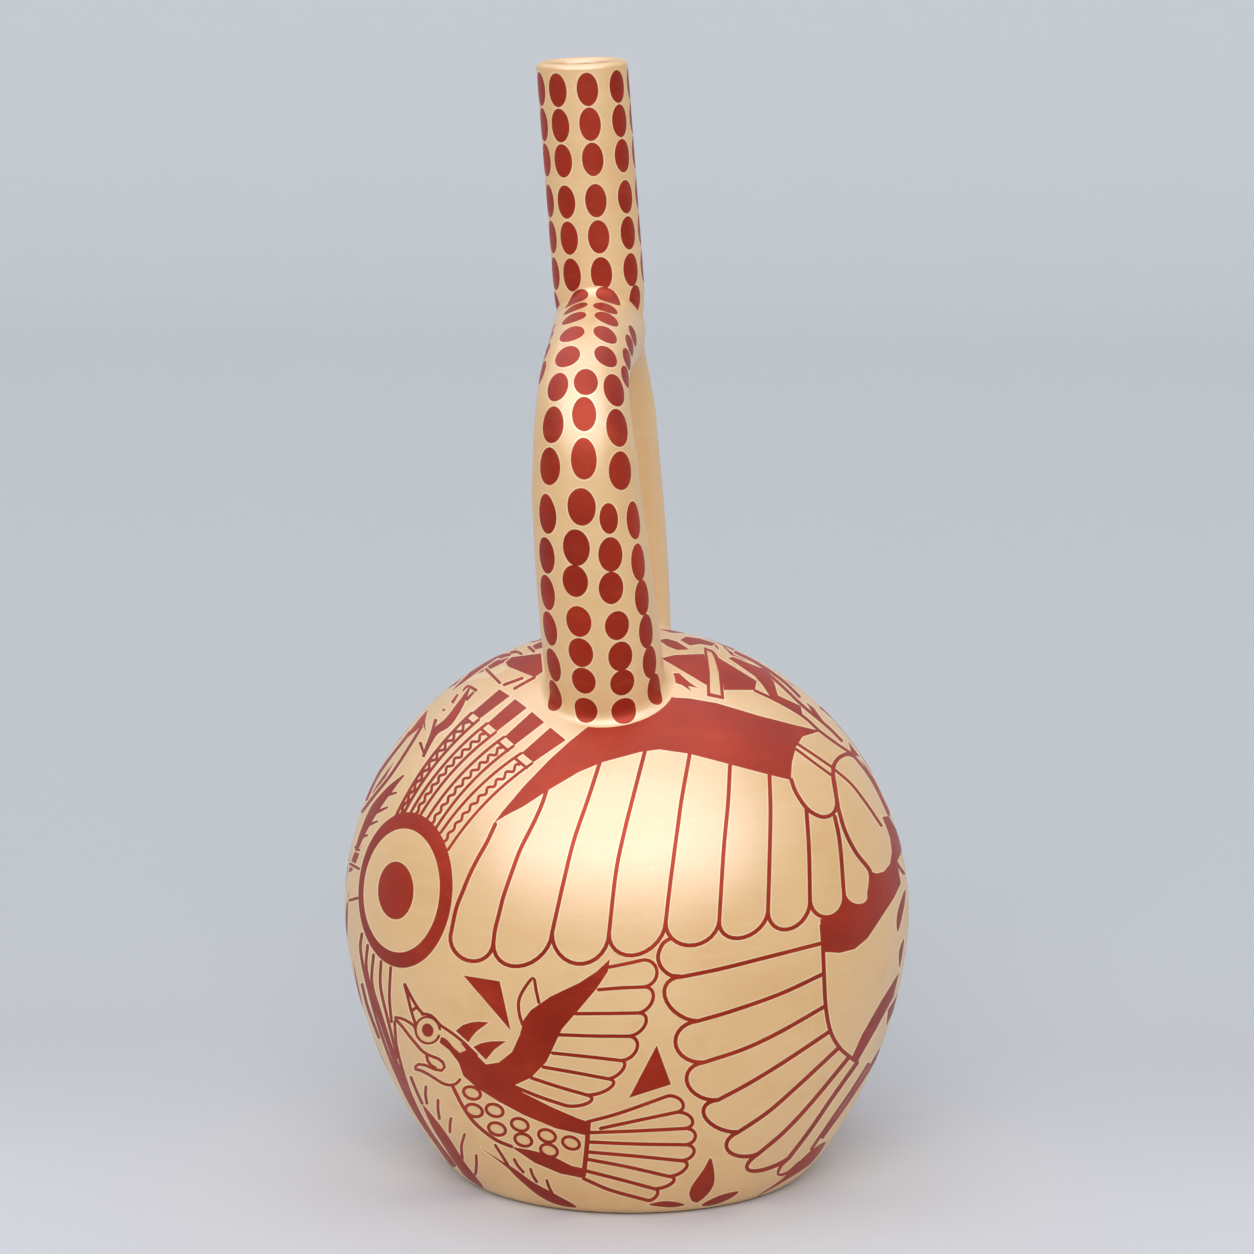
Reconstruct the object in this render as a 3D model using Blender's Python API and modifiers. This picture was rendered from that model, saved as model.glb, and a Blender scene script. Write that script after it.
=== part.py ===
# Stirrup-spout bottle: a hollow fired-clay vessel, thrown and joined into one piece.
# A round belly on a flat base carries an arched hollow handle, and one spout stands on the
# crown of the arch. Belly, arch and spout share one inner space, open at the spout's mouth.
# Metres, +Z up. The arch stands in the YZ plane. The origin is on the ground, under the belly.

import math

import bmesh
import bpy
from mathutils import Matrix, Vector

# Belly: a dome above its widest circle, a tapering bowl below it, cut off by a flat base.
# The bowl's curve would close at this depth under the ground.
BELLY_RADIUS = 0.076
BELLY_WIDEST_HEIGHT = 0.0712
DOME_RISE = 0.0763
BOWL_CLOSING_DEPTH = 0.0243
BOWL_FULLNESS = 1.71
BASE_RADIUS = 0.0454
BASE_ROUNDING = 0.0070
BELLY_WALL = 0.0045
BASE_WALL = 0.006
# The hand-built belly leans to -X: how far the middle of its base lies to +X
BELLY_LEAN = 0.00107

# Arch: a tube that leaves the belly at two roots, bows outwards and closes over a flat top
ROOT_REACH = 0.0313
WIDEST_REACH = 0.0418
WIDEST_RISE = 0.052
CROWN_RISE = 0.0349
CROWN_SQUARENESS = 2.8
ROOT_TUBE_RADIUS = 0.0155
WIDEST_TUBE_RADIUS = 0.0139
CROWN_TUBE_RADIUS = 0.0112
ARCH_WALL = 0.0034
# The tube swells by this much under the spout, over this length to each side of it
SEAT_SWELL = 0.0012
SEAT_REACH = 0.020
ROOT_FILLET = 0.0020
# Sideways place of the arch at each root, at its widest and at its crown, with the bow that
# its shoulders keep between the last two
FRONT_ROOT_SIDE = -0.0036
BACK_ROOT_SIDE = -0.0054
WIDEST_SIDE = -0.0081
CROWN_SIDE = -0.0075
SHOULDER_BOW = 0.0011

# Spout: a straight tube on the crown of the arch, leaning to one side
SPOUT_SIDE = -0.0065
SPOUT_RADIUS = 0.0120
SPOUT_WALL = 0.0031
SPOUT_LENGTH = 0.0722
SPOUT_LEAN = math.radians(4.3)
# The mouth is cut nearer to level than square to the leaning spout
MOUTH_TRIM = math.radians(2.2)
SPOUT_FILLET = 0.0028
# The spout narrows by this much where it sinks between the sides of the arch
SPOUT_TUCK = 0.0010

# How finely round shapes are divided
BELLY_SIDES = 60
CAVITY_SIDES = 36
TUBE_BEVEL_RESOLUTION = 10
CHANNEL_BEVEL_RESOLUTION = 6
SPOUT_SIDES = 28
MERGE_DISTANCE = 0.00001

CLAY_COLOUR = (0.80, 0.61, 0.38, 1.0)
CLAY_ROUGHNESS = 0.38

# Sizes that follow from the ones above
ROOT_HEIGHT = BELLY_WIDEST_HEIGHT + DOME_RISE * math.sqrt(1 - (ROOT_REACH / BELLY_RADIUS) ** 2)
WIDEST_HEIGHT = ROOT_HEIGHT + WIDEST_RISE
CROWN_HEIGHT = WIDEST_HEIGHT + CROWN_RISE


def clear_scene():
    """Starts from an empty scene."""
    for item in list(bpy.data.objects):
        bpy.data.objects.remove(item, do_unlink=True)


def new_collection(name):
    """A collection of that name, linked to the scene."""
    collection = bpy.data.collections.new(name)
    bpy.context.scene.collection.children.link(collection)
    return collection


def clay():
    """The pale slip that covers the fired clay."""
    material = bpy.data.materials.new("clay")
    material.use_nodes = True
    shader = material.node_tree.nodes["Principled BSDF"]
    shader.inputs["Base Color"].default_value = CLAY_COLOUR
    shader.inputs["Roughness"].default_value = CLAY_ROUGHNESS
    shader.inputs["Metallic"].default_value = 0.0
    return material


# Belly


def belly_side(height):
    """Sideways place of the belly's axis at a height."""
    return BELLY_LEAN * (1 - height / BELLY_WIDEST_HEIGHT)


def bowl_radius(height):
    """Outer radius of the belly at a height below its widest circle."""
    share = (BELLY_WIDEST_HEIGHT - height) / (BELLY_WIDEST_HEIGHT + BOWL_CLOSING_DEPTH)
    return BELLY_RADIUS * math.sqrt(1 - share**BOWL_FULLNESS)


def bowl_slope(height, step=0.0001):
    """How fast the bowl widens with height."""
    return (bowl_radius(height + step) - bowl_radius(height - step)) / (2 * step)


def belly_profile(dome_steps=15, bowl_steps=9, rounding_steps=4):
    """Outer profile of the belly as (radius, height), from its crown down to the base's edge."""
    points = []
    for step in range(dome_steps + 1):
        angle = math.pi / 2 * step / dome_steps
        height = BELLY_WIDEST_HEIGHT + DOME_RISE * math.cos(angle)
        points.append((BELLY_RADIUS * math.sin(angle), height))
    for step in range(1, bowl_steps + 1):
        share = step / bowl_steps
        height = BELLY_WIDEST_HEIGHT + (BASE_ROUNDING - BELLY_WIDEST_HEIGHT) * share
        points.append((bowl_radius(height), height))
    top = bowl_radius(BASE_ROUNDING)
    corner = top - bowl_slope(BASE_ROUNDING) * BASE_ROUNDING
    for step in range(1, rounding_steps + 1):
        share = step / rounding_steps
        radius = top * (1 - share) ** 2 + corner * 2 * share * (1 - share) + BASE_RADIUS * share**2
        points.append((radius, BASE_ROUNDING * (1 - share) ** 2))
    return points


def inset_profile(points, wall):
    """The profile moved inwards by a wall's thickness, kept above the floor of the base."""
    moved = [(0.0, points[0][1] - wall)]
    for before, here, after in zip(points, points[1:], points[2:]):
        along = Vector((after[0] - before[0], after[1] - before[1])).normalized()
        inner = Vector(here) + wall * Vector((along.y, -along.x))
        if inner.x > 0 and inner.y > BASE_WALL and inner.y < moved[-1][1]:
            moved.append((inner.x, inner.y))
    return moved + [(moved[-1][0] - wall / 2, BASE_WALL)]


def turned(name, points, sides, collection):
    """A solid turned about Z from a profile of (radius, height) that runs down its outer side."""
    mesh = bpy.data.meshes.new(name)
    edges = [(i, i + 1) for i in range(len(points) - 1)]
    mesh.from_pydata([(radius, 0.0, height) for radius, height in points], edges, [])
    item = bpy.data.objects.new(name, mesh)
    collection.objects.link(item)
    screw = item.modifiers.new("turn", "SCREW")
    screw.steps = sides
    screw.render_steps = sides
    screw.use_merge_vertices = True
    screw.merge_threshold = MERGE_DISTANCE
    return as_mesh(item)


def as_mesh(item):
    """The object again as a plain mesh, with its modifiers or curve shape made real."""
    bpy.context.view_layer.update()
    evaluated = item.evaluated_get(bpy.context.evaluated_depsgraph_get())
    mesh = bpy.data.meshes.new_from_object(evaluated)
    place, name, collection = item.matrix_world.copy(), item.name, item.users_collection[0]
    bpy.data.objects.remove(item, do_unlink=True)
    solid = bpy.data.objects.new(name, mesh)
    collection.objects.link(solid)
    solid.matrix_world = place
    return solid


def lean_belly(item):
    """Moves each vertex sideways with its height, as the hand-built belly leans."""
    for vertex in item.data.vertices:
        vertex.co.x += belly_side(vertex.co.z)
    return item


def make_belly(collection):
    """The belly's outer form, solid until the cavity is cut from it."""
    points = belly_profile()
    return lean_belly(turned("bottle", points + [(0.0, 0.0)], BELLY_SIDES, collection))


def make_cavity(collection):
    """The hollow of the belly."""
    points = inset_profile(belly_profile(), BELLY_WALL)
    return lean_belly(turned("cavity", points + [(0.0, BASE_WALL)], CAVITY_SIDES, collection))


# Arch


def leg_station(share, face):
    """Centre and outer radius on a leg: share 0 is its widest reach, 1 its root, over 1 inside.

    Face is -1 for the leg at -Y and 1 for the leg at +Y."""
    root_side = FRONT_ROOT_SIDE if face < 0 else BACK_ROOT_SIDE
    side = WIDEST_SIDE + (root_side - WIDEST_SIDE) * share
    reach = WIDEST_REACH - (WIDEST_REACH - ROOT_REACH) * share**2
    height = WIDEST_HEIGHT - WIDEST_RISE * share
    swelling = (ROOT_TUBE_RADIUS - WIDEST_TUBE_RADIUS) * share * (2 - share)
    radius = WIDEST_TUBE_RADIUS + swelling
    return Vector((side, face * reach, height)), radius


def crown_section(reach):
    """Centre and outer radius of the tube over the top, at a distance from the middle along Y."""
    power = CROWN_SQUARENESS
    rise = (1 - min(abs(reach) / WIDEST_REACH, 1.0) ** power) ** (1 / power)
    side = WIDEST_SIDE + (CROWN_SIDE - WIDEST_SIDE) * rise**4
    side -= SHOULDER_BOW * 4 * rise**2 * (1 - rise**2)
    narrowing = (WIDEST_TUBE_RADIUS - CROWN_TUBE_RADIUS) * rise**2 * (3 - 2 * rise)
    swelling = SEAT_SWELL * (1 - min(abs(reach) / SEAT_REACH, 1.0) ** 2) ** 2
    height = WIDEST_HEIGHT + CROWN_RISE * rise
    return Vector((side, reach, height)), WIDEST_TUBE_RADIUS - narrowing + swelling


def crown_station(angle):
    """Centre and outer radius over the top, from angle 0 at -Y to pi at +Y."""
    across, up = math.cos(angle), abs(math.sin(angle))
    power = CROWN_SQUARENESS
    spread = (abs(across) ** power + up**power) ** (-1 / power)
    return crown_section(-WIDEST_REACH * spread * across)


def arch_stations(leg_shares, crown_steps):
    """Stations of the whole tube, from inside the belly at -Y over the crown to +Y."""
    front = [leg_station(share, -1) for share in leg_shares]
    crown = [crown_station(math.pi * step / crown_steps) for step in range(crown_steps + 1)]
    back = [leg_station(share, 1) for share in reversed(leg_shares)]
    return front + crown + back


def tube(name, stations, wall, resolution, collection):
    """A round tube through the stations, thinner than them by a wall, as a closed mesh."""
    curve = bpy.data.curves.new(name, "CURVE")
    curve.dimensions = "3D"
    curve.bevel_depth = ROOT_TUBE_RADIUS
    curve.bevel_resolution = resolution
    curve.use_fill_caps = True
    curve.twist_mode = "MINIMUM"
    spline = curve.splines.new("POLY")
    spline.points.add(len(stations) - 1)
    for point, (place, radius) in zip(spline.points, stations):
        point.co = (*place, 1.0)
        point.radius = (radius - wall) / ROOT_TUBE_RADIUS
    item = bpy.data.objects.new(name, curve)
    collection.objects.link(item)
    solid = as_mesh(item)
    weld(solid)
    return solid


def weld(item):
    """Joins vertices that lie on each other, such as a tube's loose caps."""
    mesh = bmesh.new()
    mesh.from_mesh(item.data)
    bmesh.ops.remove_doubles(mesh, verts=mesh.verts, dist=MERGE_DISTANCE)
    bmesh.ops.recalc_face_normals(mesh, faces=mesh.faces)
    mesh.to_mesh(item.data)
    mesh.free()


def fillet_push(gap, size):
    """How far a concave fillet of that size stands out where the gap to the other surface is."""
    lifted = min(max(gap + 0.1 * size, 0.1 * size), size)
    return size - math.sqrt(size**2 - (size - lifted) ** 2)


def belly_gap(place):
    """Distance of a point above the belly's dome, near it."""
    flattened = Vector((place.x - belly_side(place.z), place.y, 0.0)) / BELLY_RADIUS
    flattened.z = (place.z - BELLY_WIDEST_HEIGHT) / DOME_RISE
    return (flattened.length - 1) * BELLY_RADIUS


def flare_roots(item):
    """Spreads the tube's surface where it meets the belly, as the joint was smoothed by hand."""
    for face in (-1, 1):
        root, _ = leg_station(1.0, face)
        above, _ = leg_station(0.9, face)
        axis = (above - root).normalized()
        for vertex in item.data.vertices:
            if vertex.co.y * face < 0:
                continue
            outward = vertex.co - root
            outward -= axis * outward.dot(axis)
            gap = belly_gap(vertex.co)
            if gap < ROOT_FILLET and outward.length > MERGE_DISTANCE:
                vertex.co += outward.normalized() * fillet_push(gap, ROOT_FILLET)


def make_arch(collection):
    """The arch's outer form. Its rings crowd together at the roots, where the fillet bends."""
    buried, fine_steps = 1.12, 9
    fine = [buried - (buried - 0.90) * step / fine_steps for step in range(fine_steps + 1)]
    shares = fine + [0.80, 0.66, 0.50, 0.34, 0.17]
    stations = arch_stations(shares, 20)
    item = tube("arch", stations, 0.0, TUBE_BEVEL_RESOLUTION, collection)
    flare_roots(item)
    return item


def make_channel(collection):
    """The hollow inside the arch, open to the belly at both roots."""
    shares = [1.30, 1.10, 0.90, 0.70, 0.50, 0.25]
    stations = arch_stations(shares, 14)
    return tube("channel", stations, ARCH_WALL, CHANNEL_BEVEL_RESOLUTION, collection)


# Spout


def trim_mouth(item):
    """Tips the lip back towards level, from the middle of the spout's upper half."""
    for vertex in item.data.vertices:
        share = max(vertex.co.z / SPOUT_LENGTH - 0.75, 0.0) / 0.25
        vertex.co.z -= vertex.co.x * math.tan(MOUTH_TRIM) * share


def place_spout(item):
    """Stands a form on the centre of the arch's crown and leans it to -X."""
    foot = Vector((SPOUT_SIDE, 0.0, CROWN_HEIGHT))
    lean = Matrix.Rotation(-SPOUT_LEAN, 4, "Y")
    item.data.transform(Matrix.Translation(foot) @ lean)
    return item


def arch_gap(place):
    """Distance of a point above the arch's outer surface, near the crown."""
    centre, radius = crown_section(place.y)
    return math.hypot(place.x - centre.x, place.z - centre.z) - radius


def flare_spout(item):
    """Spreads the spout's foot along the arch, and not at its sides, where both run flush."""
    axis = Vector((-math.sin(SPOUT_LEAN), 0.0, math.cos(SPOUT_LEAN)))
    foot = Vector((SPOUT_SIDE, 0.0, CROWN_HEIGHT))
    for vertex in item.data.vertices:
        outward = vertex.co - foot
        outward -= axis * outward.dot(axis)
        if outward.length < SPOUT_RADIUS - SPOUT_WALL / 2:
            continue
        along_arch = (outward.y / outward.length) ** 2
        gap = arch_gap(vertex.co)
        if gap < SPOUT_FILLET:
            push = fillet_push(gap, SPOUT_FILLET) * along_arch
            vertex.co += outward.normalized() * push


def lip_quarter(inner, steps=5):
    """Quarter of the rounded lip as (radius, height), from the crest down its outer or inner side."""
    half_wall = SPOUT_WALL / 2
    crest = SPOUT_RADIUS - half_wall
    points = []
    for step in range(steps + 1):
        angle = math.pi / 2 * step / steps
        out = half_wall * math.sin(angle)
        height = SPOUT_LENGTH - half_wall * (1 - math.cos(angle))
        points.append((crest - out if inner else crest + out, height))
    return points


def make_spout(collection):
    """The spout's outer form, tucked into the crown of the arch."""
    tuck_top = CROWN_TUBE_RADIUS + SPOUT_FILLET
    tuck_bottom = CROWN_TUBE_RADIUS / 3
    points = [(0.0, SPOUT_LENGTH)] + lip_quarter(inner=False)
    for share in (0.75, 0.50):
        points.append((SPOUT_RADIUS, tuck_top + share * (SPOUT_LENGTH - tuck_top)))
    fine_steps = 8
    for step in range(fine_steps + 1):
        share = step / fine_steps
        height = tuck_top + (tuck_bottom - tuck_top) * share
        points.append((SPOUT_RADIUS - SPOUT_TUCK * share**2, height))
    points += [(SPOUT_RADIUS - SPOUT_TUCK, 0.0), (0.0, 0.0)]
    item = turned("spout", points, SPOUT_SIDES, collection)
    trim_mouth(item)
    place_spout(item)
    flare_spout(item)
    return item


def make_bore(collection):
    """The hollow of the spout, from its mouth down to the hollow of the arch."""
    bore = SPOUT_RADIUS - SPOUT_WALL
    throat = CROWN_TUBE_RADIUS - ARCH_WALL
    rounding = lip_quarter(inner=True)[1:]
    above = SPOUT_LENGTH + SPOUT_WALL
    points = [(0.0, above), (rounding[0][0], above)] + rounding
    points += [(bore, 0.75 * SPOUT_LENGTH), (bore, CROWN_TUBE_RADIUS), (throat, 0.0), (0.0, 0.0)]
    item = turned("bore", points, SPOUT_SIDES, collection)
    trim_mouth(item)
    return place_spout(item)


# The bottle


def combine(item, other, operation):
    """Joins another form to the item, or cuts it from the item."""
    boolean = item.modifiers.new(other.name, "BOOLEAN")
    boolean.operation = operation
    boolean.solver = "EXACT"
    boolean.object = other
    other.hide_render = True
    other.display_type = "WIRE"


def make_bottle():
    """One hollow piece: belly, arch and spout joined, and their joined inner space cut out."""
    clear_scene()
    pieces = new_collection("stirrup_spout_bottle")
    cutters = new_collection("cutters")
    hollow = make_cavity(cutters)
    combine(hollow, make_channel(cutters), "UNION")
    combine(hollow, make_bore(cutters), "UNION")
    bottle = make_belly(pieces)
    combine(bottle, make_arch(cutters), "UNION")
    combine(bottle, make_spout(cutters), "UNION")
    combine(bottle, hollow, "DIFFERENCE")
    bottle.data.materials.append(clay())
    bottle.data.shade_smooth()
    bottle.data.set_sharp_from_angle(angle=math.radians(40))
    return bottle


make_bottle()
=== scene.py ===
import math

import bmesh
import bpy
import numpy as np
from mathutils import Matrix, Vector
from mathutils.geometry import delaunay_2d_cdt


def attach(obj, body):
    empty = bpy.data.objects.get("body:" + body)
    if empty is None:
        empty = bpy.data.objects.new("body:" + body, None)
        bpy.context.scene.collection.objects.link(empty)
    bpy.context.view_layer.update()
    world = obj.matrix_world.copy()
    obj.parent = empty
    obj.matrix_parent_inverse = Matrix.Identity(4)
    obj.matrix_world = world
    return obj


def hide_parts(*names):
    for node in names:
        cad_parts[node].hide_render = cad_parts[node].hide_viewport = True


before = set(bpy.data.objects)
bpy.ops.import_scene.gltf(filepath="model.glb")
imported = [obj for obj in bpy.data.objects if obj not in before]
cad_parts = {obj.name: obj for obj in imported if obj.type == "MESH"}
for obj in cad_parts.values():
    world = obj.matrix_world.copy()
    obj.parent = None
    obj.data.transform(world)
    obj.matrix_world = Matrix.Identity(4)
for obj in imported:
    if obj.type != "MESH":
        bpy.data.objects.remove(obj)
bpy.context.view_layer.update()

# Belly, in metres, as in the solid model
BELLY_RADIUS = 0.076
BELLY_WIDEST_HEIGHT = 0.0712
DOME_RISE = 0.0763
BOWL_CLOSING_DEPTH = 0.0243
BOWL_FULLNESS = 1.71
BASE_RADIUS = 0.0454
BASE_ROUNDING = 0.0070
BELLY_WALL = 0.0045
BASE_WALL = 0.006
BELLY_LEAN = 0.00107
DOME_TOP = BELLY_WIDEST_HEIGHT + DOME_RISE

# Arch
ROOT_REACH = 0.0313
WIDEST_REACH = 0.0418
WIDEST_RISE = 0.052
CROWN_RISE = 0.0349
CROWN_SQUARENESS = 2.8
ROOT_TUBE_RADIUS = 0.0155
WIDEST_TUBE_RADIUS = 0.0139
CROWN_TUBE_RADIUS = 0.0112
ARCH_WALL = 0.0034
SEAT_SWELL = 0.0012
SEAT_REACH = 0.020
ROOT_FILLET = 0.0026
FRONT_ROOT_SIDE = -0.0036
BACK_ROOT_SIDE = -0.0054
WIDEST_SIDE = -0.0081
CROWN_SIDE = -0.0075
SHOULDER_BOW = 0.0011
ROOT_HEIGHT = BELLY_WIDEST_HEIGHT + DOME_RISE * math.sqrt(1 - (ROOT_REACH / BELLY_RADIUS) ** 2)
WIDEST_HEIGHT = ROOT_HEIGHT + WIDEST_RISE
CROWN_HEIGHT = WIDEST_HEIGHT + CROWN_RISE

# Spout
SPOUT_SIDE = -0.0065
SPOUT_RADIUS = 0.0120
SPOUT_LENGTH = 0.0722
SPOUT_LEAN = math.radians(4.3)
MOUTH_TRIM = math.radians(2.2)
SPOUT_TUCK = 0.0010
SPOUT_FILLET = 0.0028
LIP_CREST_RADIUS = 0.01045
LIP_ROUNDING = 0.00155
BORE_RADIUS = 0.0089
THROAT_RADIUS = 0.0078
# The slant of the mouth begins at this share of the spout's length
TRIM_START = 0.75
# The fillet's width at the spout's two sides, where its wall runs on into the arch's
SIDE_FILLET = 0.0005

# Camera, fitted to the outline in the photograph
PHOTO_SIDE = 1254
FOCAL_PIXELS = 5343.0
CAMERA_DISTANCE = 1.4
CAMERA_HEIGHT = 0.422
CAMERA_AZIMUTH = math.radians(3.55)
CAMERA_PITCH = 0.1928
SENSOR_WIDTH = 36.0


def camera_axes():
    """The camera's place and its right, up and forward directions."""
    sine, cosine = math.sin(CAMERA_AZIMUTH), math.cos(CAMERA_AZIMUTH)
    place = np.array([CAMERA_DISTANCE * sine, -CAMERA_DISTANCE * cosine, CAMERA_HEIGHT])
    right = np.array([cosine, sine, 0.0])
    level = np.array([-sine, cosine, 0.0])
    forward = level * math.cos(CAMERA_PITCH) - np.array([0, 0, math.sin(CAMERA_PITCH)])
    up = np.cross(right, forward)
    return place, right, up, forward


def add_camera():
    """A long lens at the photograph's viewing angle."""
    place, _, _, forward = camera_axes()
    data = bpy.data.cameras.new("camera")
    data.sensor_width = SENSOR_WIDTH
    data.lens = FOCAL_PIXELS / PHOTO_SIDE * SENSOR_WIDTH
    data.clip_start, data.clip_end = 0.05, 20.0
    camera = bpy.data.objects.new("camera", data)
    camera.location = place
    camera.rotation_euler = Vector(forward).to_track_quat("-Z", "Y").to_euler()
    bpy.context.collection.objects.link(camera)
    bpy.context.scene.camera = camera


# Directions and lengths

def unit(vectors):
    """Vectors brought to length 1."""
    return vectors / np.maximum(np.linalg.norm(vectors, axis=-1, keepdims=True), 1e-12)


def run_length(points):
    """Length along a line of points, from its first."""
    return np.concatenate([[0], np.cumsum(np.linalg.norm(np.diff(points, axis=0), axis=1))])


def ring_turns(sides, start=0.0):
    """Equal turns once round a ring."""
    return np.linspace(start, start + 2 * math.pi, sides + 1)[:-1]


# The belly as a surface of turning

def belly_side(z):
    """How far the belly's middle lies to +X at a height."""
    return BELLY_LEAN * (1 - z / BELLY_WIDEST_HEIGHT)


def bowl_radius(z):
    """Radius of the bowl under the widest circle."""
    depth = (BELLY_WIDEST_HEIGHT - z) / (BELLY_WIDEST_HEIGHT + BOWL_CLOSING_DEPTH)
    return BELLY_RADIUS * np.sqrt(1 - depth**BOWL_FULLNESS)


def belly_profile(steps=700, corner_steps=120):
    """Radius and height from the crown of the dome down to the edge of the base."""
    angle = np.linspace(0, math.pi / 2, steps)
    dome = np.stack([BELLY_RADIUS * np.sin(angle), BELLY_WIDEST_HEIGHT + DOME_RISE * np.cos(angle)], 1)
    z = np.linspace(BELLY_WIDEST_HEIGHT, BASE_ROUNDING, steps)[1:]
    bowl = np.stack([bowl_radius(z), z], 1)
    small = 1e-5
    slope = (bowl_radius(BASE_ROUNDING + small) - bowl_radius(BASE_ROUNDING - small)) / (2 * small)
    top = bowl_radius(BASE_ROUNDING)
    corner = top - slope * BASE_ROUNDING
    share = np.linspace(0, 1, corner_steps)[1:]
    radius = top * (1 - share) ** 2 + corner * 2 * share * (1 - share) + BASE_RADIUS * share**2
    rounding = np.stack([radius, BASE_ROUNDING * (1 - share) ** 2], 1)
    return np.concatenate([dome, bowl, rounding])


PROFILE = belly_profile()
PROFILE_RUN = np.concatenate([[0], np.cumsum(np.hypot(*np.diff(PROFILE, axis=0).T))])


# The crown's middle lies this much below its neighbour in the logarithm of the chart radius
CENTRE_DEPTH = 12.0


def profile_stretch():
    """Natural logarithm of the chart radius along the profile, 0 at the widest circle."""
    radius = np.maximum(PROFILE[:, 0], 1e-9)
    steps = np.diff(PROFILE_RUN)
    mean = (radius[1:] + radius[:-1]) / 2
    logs = np.concatenate([[0], np.cumsum(steps / mean)])
    logs[1:] -= np.interp(BELLY_WIDEST_HEIGHT, PROFILE[::-1, 1], logs[::-1])
    logs[0] = logs[1] - CENTRE_DEPTH
    return logs


PROFILE_LOG = profile_stretch()


def at_height(z, values):
    """A value along the profile, at heights on the belly."""
    return np.interp(-z, -PROFILE[:, 1], values)


def belly_point(chart):
    """Place on the belly of points in its chart, which keeps angles true."""
    chart = np.asarray(chart, float)
    log_radius = np.log(np.maximum(np.hypot(chart[:, 0], chart[:, 1]), 1e-9))
    turn = np.arctan2(chart[:, 1], chart[:, 0])
    radius = np.interp(log_radius, PROFILE_LOG, PROFILE[:, 0])
    z = np.interp(log_radius, PROFILE_LOG, PROFILE[:, 1])
    return np.stack([belly_side(z) + radius * np.cos(turn), radius * np.sin(turn), z], 1)


def belly_normal(points):
    """Outward direction of the belly at points on it."""
    z = points[:, 2]
    run = at_height(z, PROFILE_RUN)
    step = 4e-4
    ahead = np.minimum(run + step, PROFILE_RUN[-1])
    behind = np.maximum(run - step, 0)
    dr = np.interp(ahead, PROFILE_RUN, PROFILE[:, 0]) - np.interp(behind, PROFILE_RUN, PROFILE[:, 0])
    dz = np.interp(ahead, PROFILE_RUN, PROFILE[:, 1]) - np.interp(behind, PROFILE_RUN, PROFILE[:, 1])
    turn = np.arctan2(points[:, 1], points[:, 0] - belly_side(z))
    length = np.hypot(dr, dz)
    out, up = -dz / length, dr / length
    return np.stack([out * np.cos(turn), out * np.sin(turn), up], 1)


def belly_chart(points):
    """Chart place of points on the belly."""
    z = points[:, 2]
    turn = np.arctan2(points[:, 1], points[:, 0] - belly_side(z))
    scale = np.exp(at_height(z, PROFILE_LOG))
    return np.stack([scale * np.cos(turn), scale * np.sin(turn)], 1)


def belly_gap(points):
    """How far points are outside the belly, level with them."""
    z = points[..., 2]
    radius = np.where(z > DOME_TOP, DOME_TOP - z, at_height(z, PROFILE[:, 0]))
    return np.hypot(points[..., 0] - belly_side(z), points[..., 1]) - radius


# The arch as a tube along its centre line

def leg_station(share, face):
    """Centre and tube radius of a leg: share 0 at its widest, 1 at its root, and beyond."""
    root_side = FRONT_ROOT_SIDE if face < 0 else BACK_ROOT_SIDE
    side = WIDEST_SIDE + (root_side - WIDEST_SIDE) * share
    reach = WIDEST_REACH - (WIDEST_REACH - ROOT_REACH) * share**2
    height = WIDEST_HEIGHT - WIDEST_RISE * share
    radius = WIDEST_TUBE_RADIUS + (ROOT_TUBE_RADIUS - WIDEST_TUBE_RADIUS) * share * (2 - share)
    return side, face * reach, height, radius


def crown_station(angle):
    """Centre and tube radius of the crown at a polar angle, 0 at its top and 90 degrees at a shoulder."""
    sine, cosine = math.sin(angle), math.cos(angle)
    power = CROWN_SQUARENESS
    size = (abs(sine) ** power + abs(cosine) ** power) ** (-1 / power)
    y, rise = WIDEST_REACH * sine * size, cosine * size
    side = WIDEST_SIDE + (CROWN_SIDE - WIDEST_SIDE) * rise**4 - SHOULDER_BOW * 4 * rise**2 * (1 - rise**2)
    radius = WIDEST_TUBE_RADIUS - (WIDEST_TUBE_RADIUS - CROWN_TUBE_RADIUS) * rise**2 * (3 - 2 * rise)
    radius += SEAT_SWELL * (1 - min(abs(y) / SEAT_REACH, 1) ** 2) ** 2
    return side, y, WIDEST_HEIGHT + CROWN_RISE * rise, radius


LEG_STATIONS = 200
CROWN_STATIONS = 400
# The legs' centre lines go on below the roots, to this share of their length
LEG_END = 1.35


def arch_stations():
    """Stations of the arch from below its front root, over the crown, to below its back root."""
    shares = np.linspace(LEG_END, 0, LEG_STATIONS)
    angles = np.linspace(-math.pi / 2, math.pi / 2, CROWN_STATIONS)
    rows = [leg_station(share, -1) for share in shares]
    rows += [crown_station(angle) for angle in angles[1:-1]]
    rows += [leg_station(share, 1) for share in shares[::-1]]
    return np.array(rows)


def ease_radius(rows, reach=0.007):
    """Stations with their tube radius averaged over a short run, so that no crease shows."""
    run = run_length(rows[:, :3])
    shifts = np.linspace(-reach, reach, 15)
    rows[:, 3] = np.mean([np.interp(run + shift, run, rows[:, 3]) for shift in shifts], axis=0)
    return rows


ARCH = ease_radius(arch_stations())
ARCH_RUN = run_length(ARCH[:, :3])
ARCH_MIDDLE = float(np.interp(0, ARCH[:, 1], ARCH_RUN))
ARCH_MEAN_RADIUS = 0.0135
# The crown's rows among the stations
CROWN = slice(LEG_STATIONS, LEG_STATIONS + CROWN_STATIONS - 2)


def arch_centre(run):
    """Place on the centre line."""
    return np.stack([np.interp(run, ARCH_RUN, ARCH[:, k]) for k in range(3)], -1)


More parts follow.
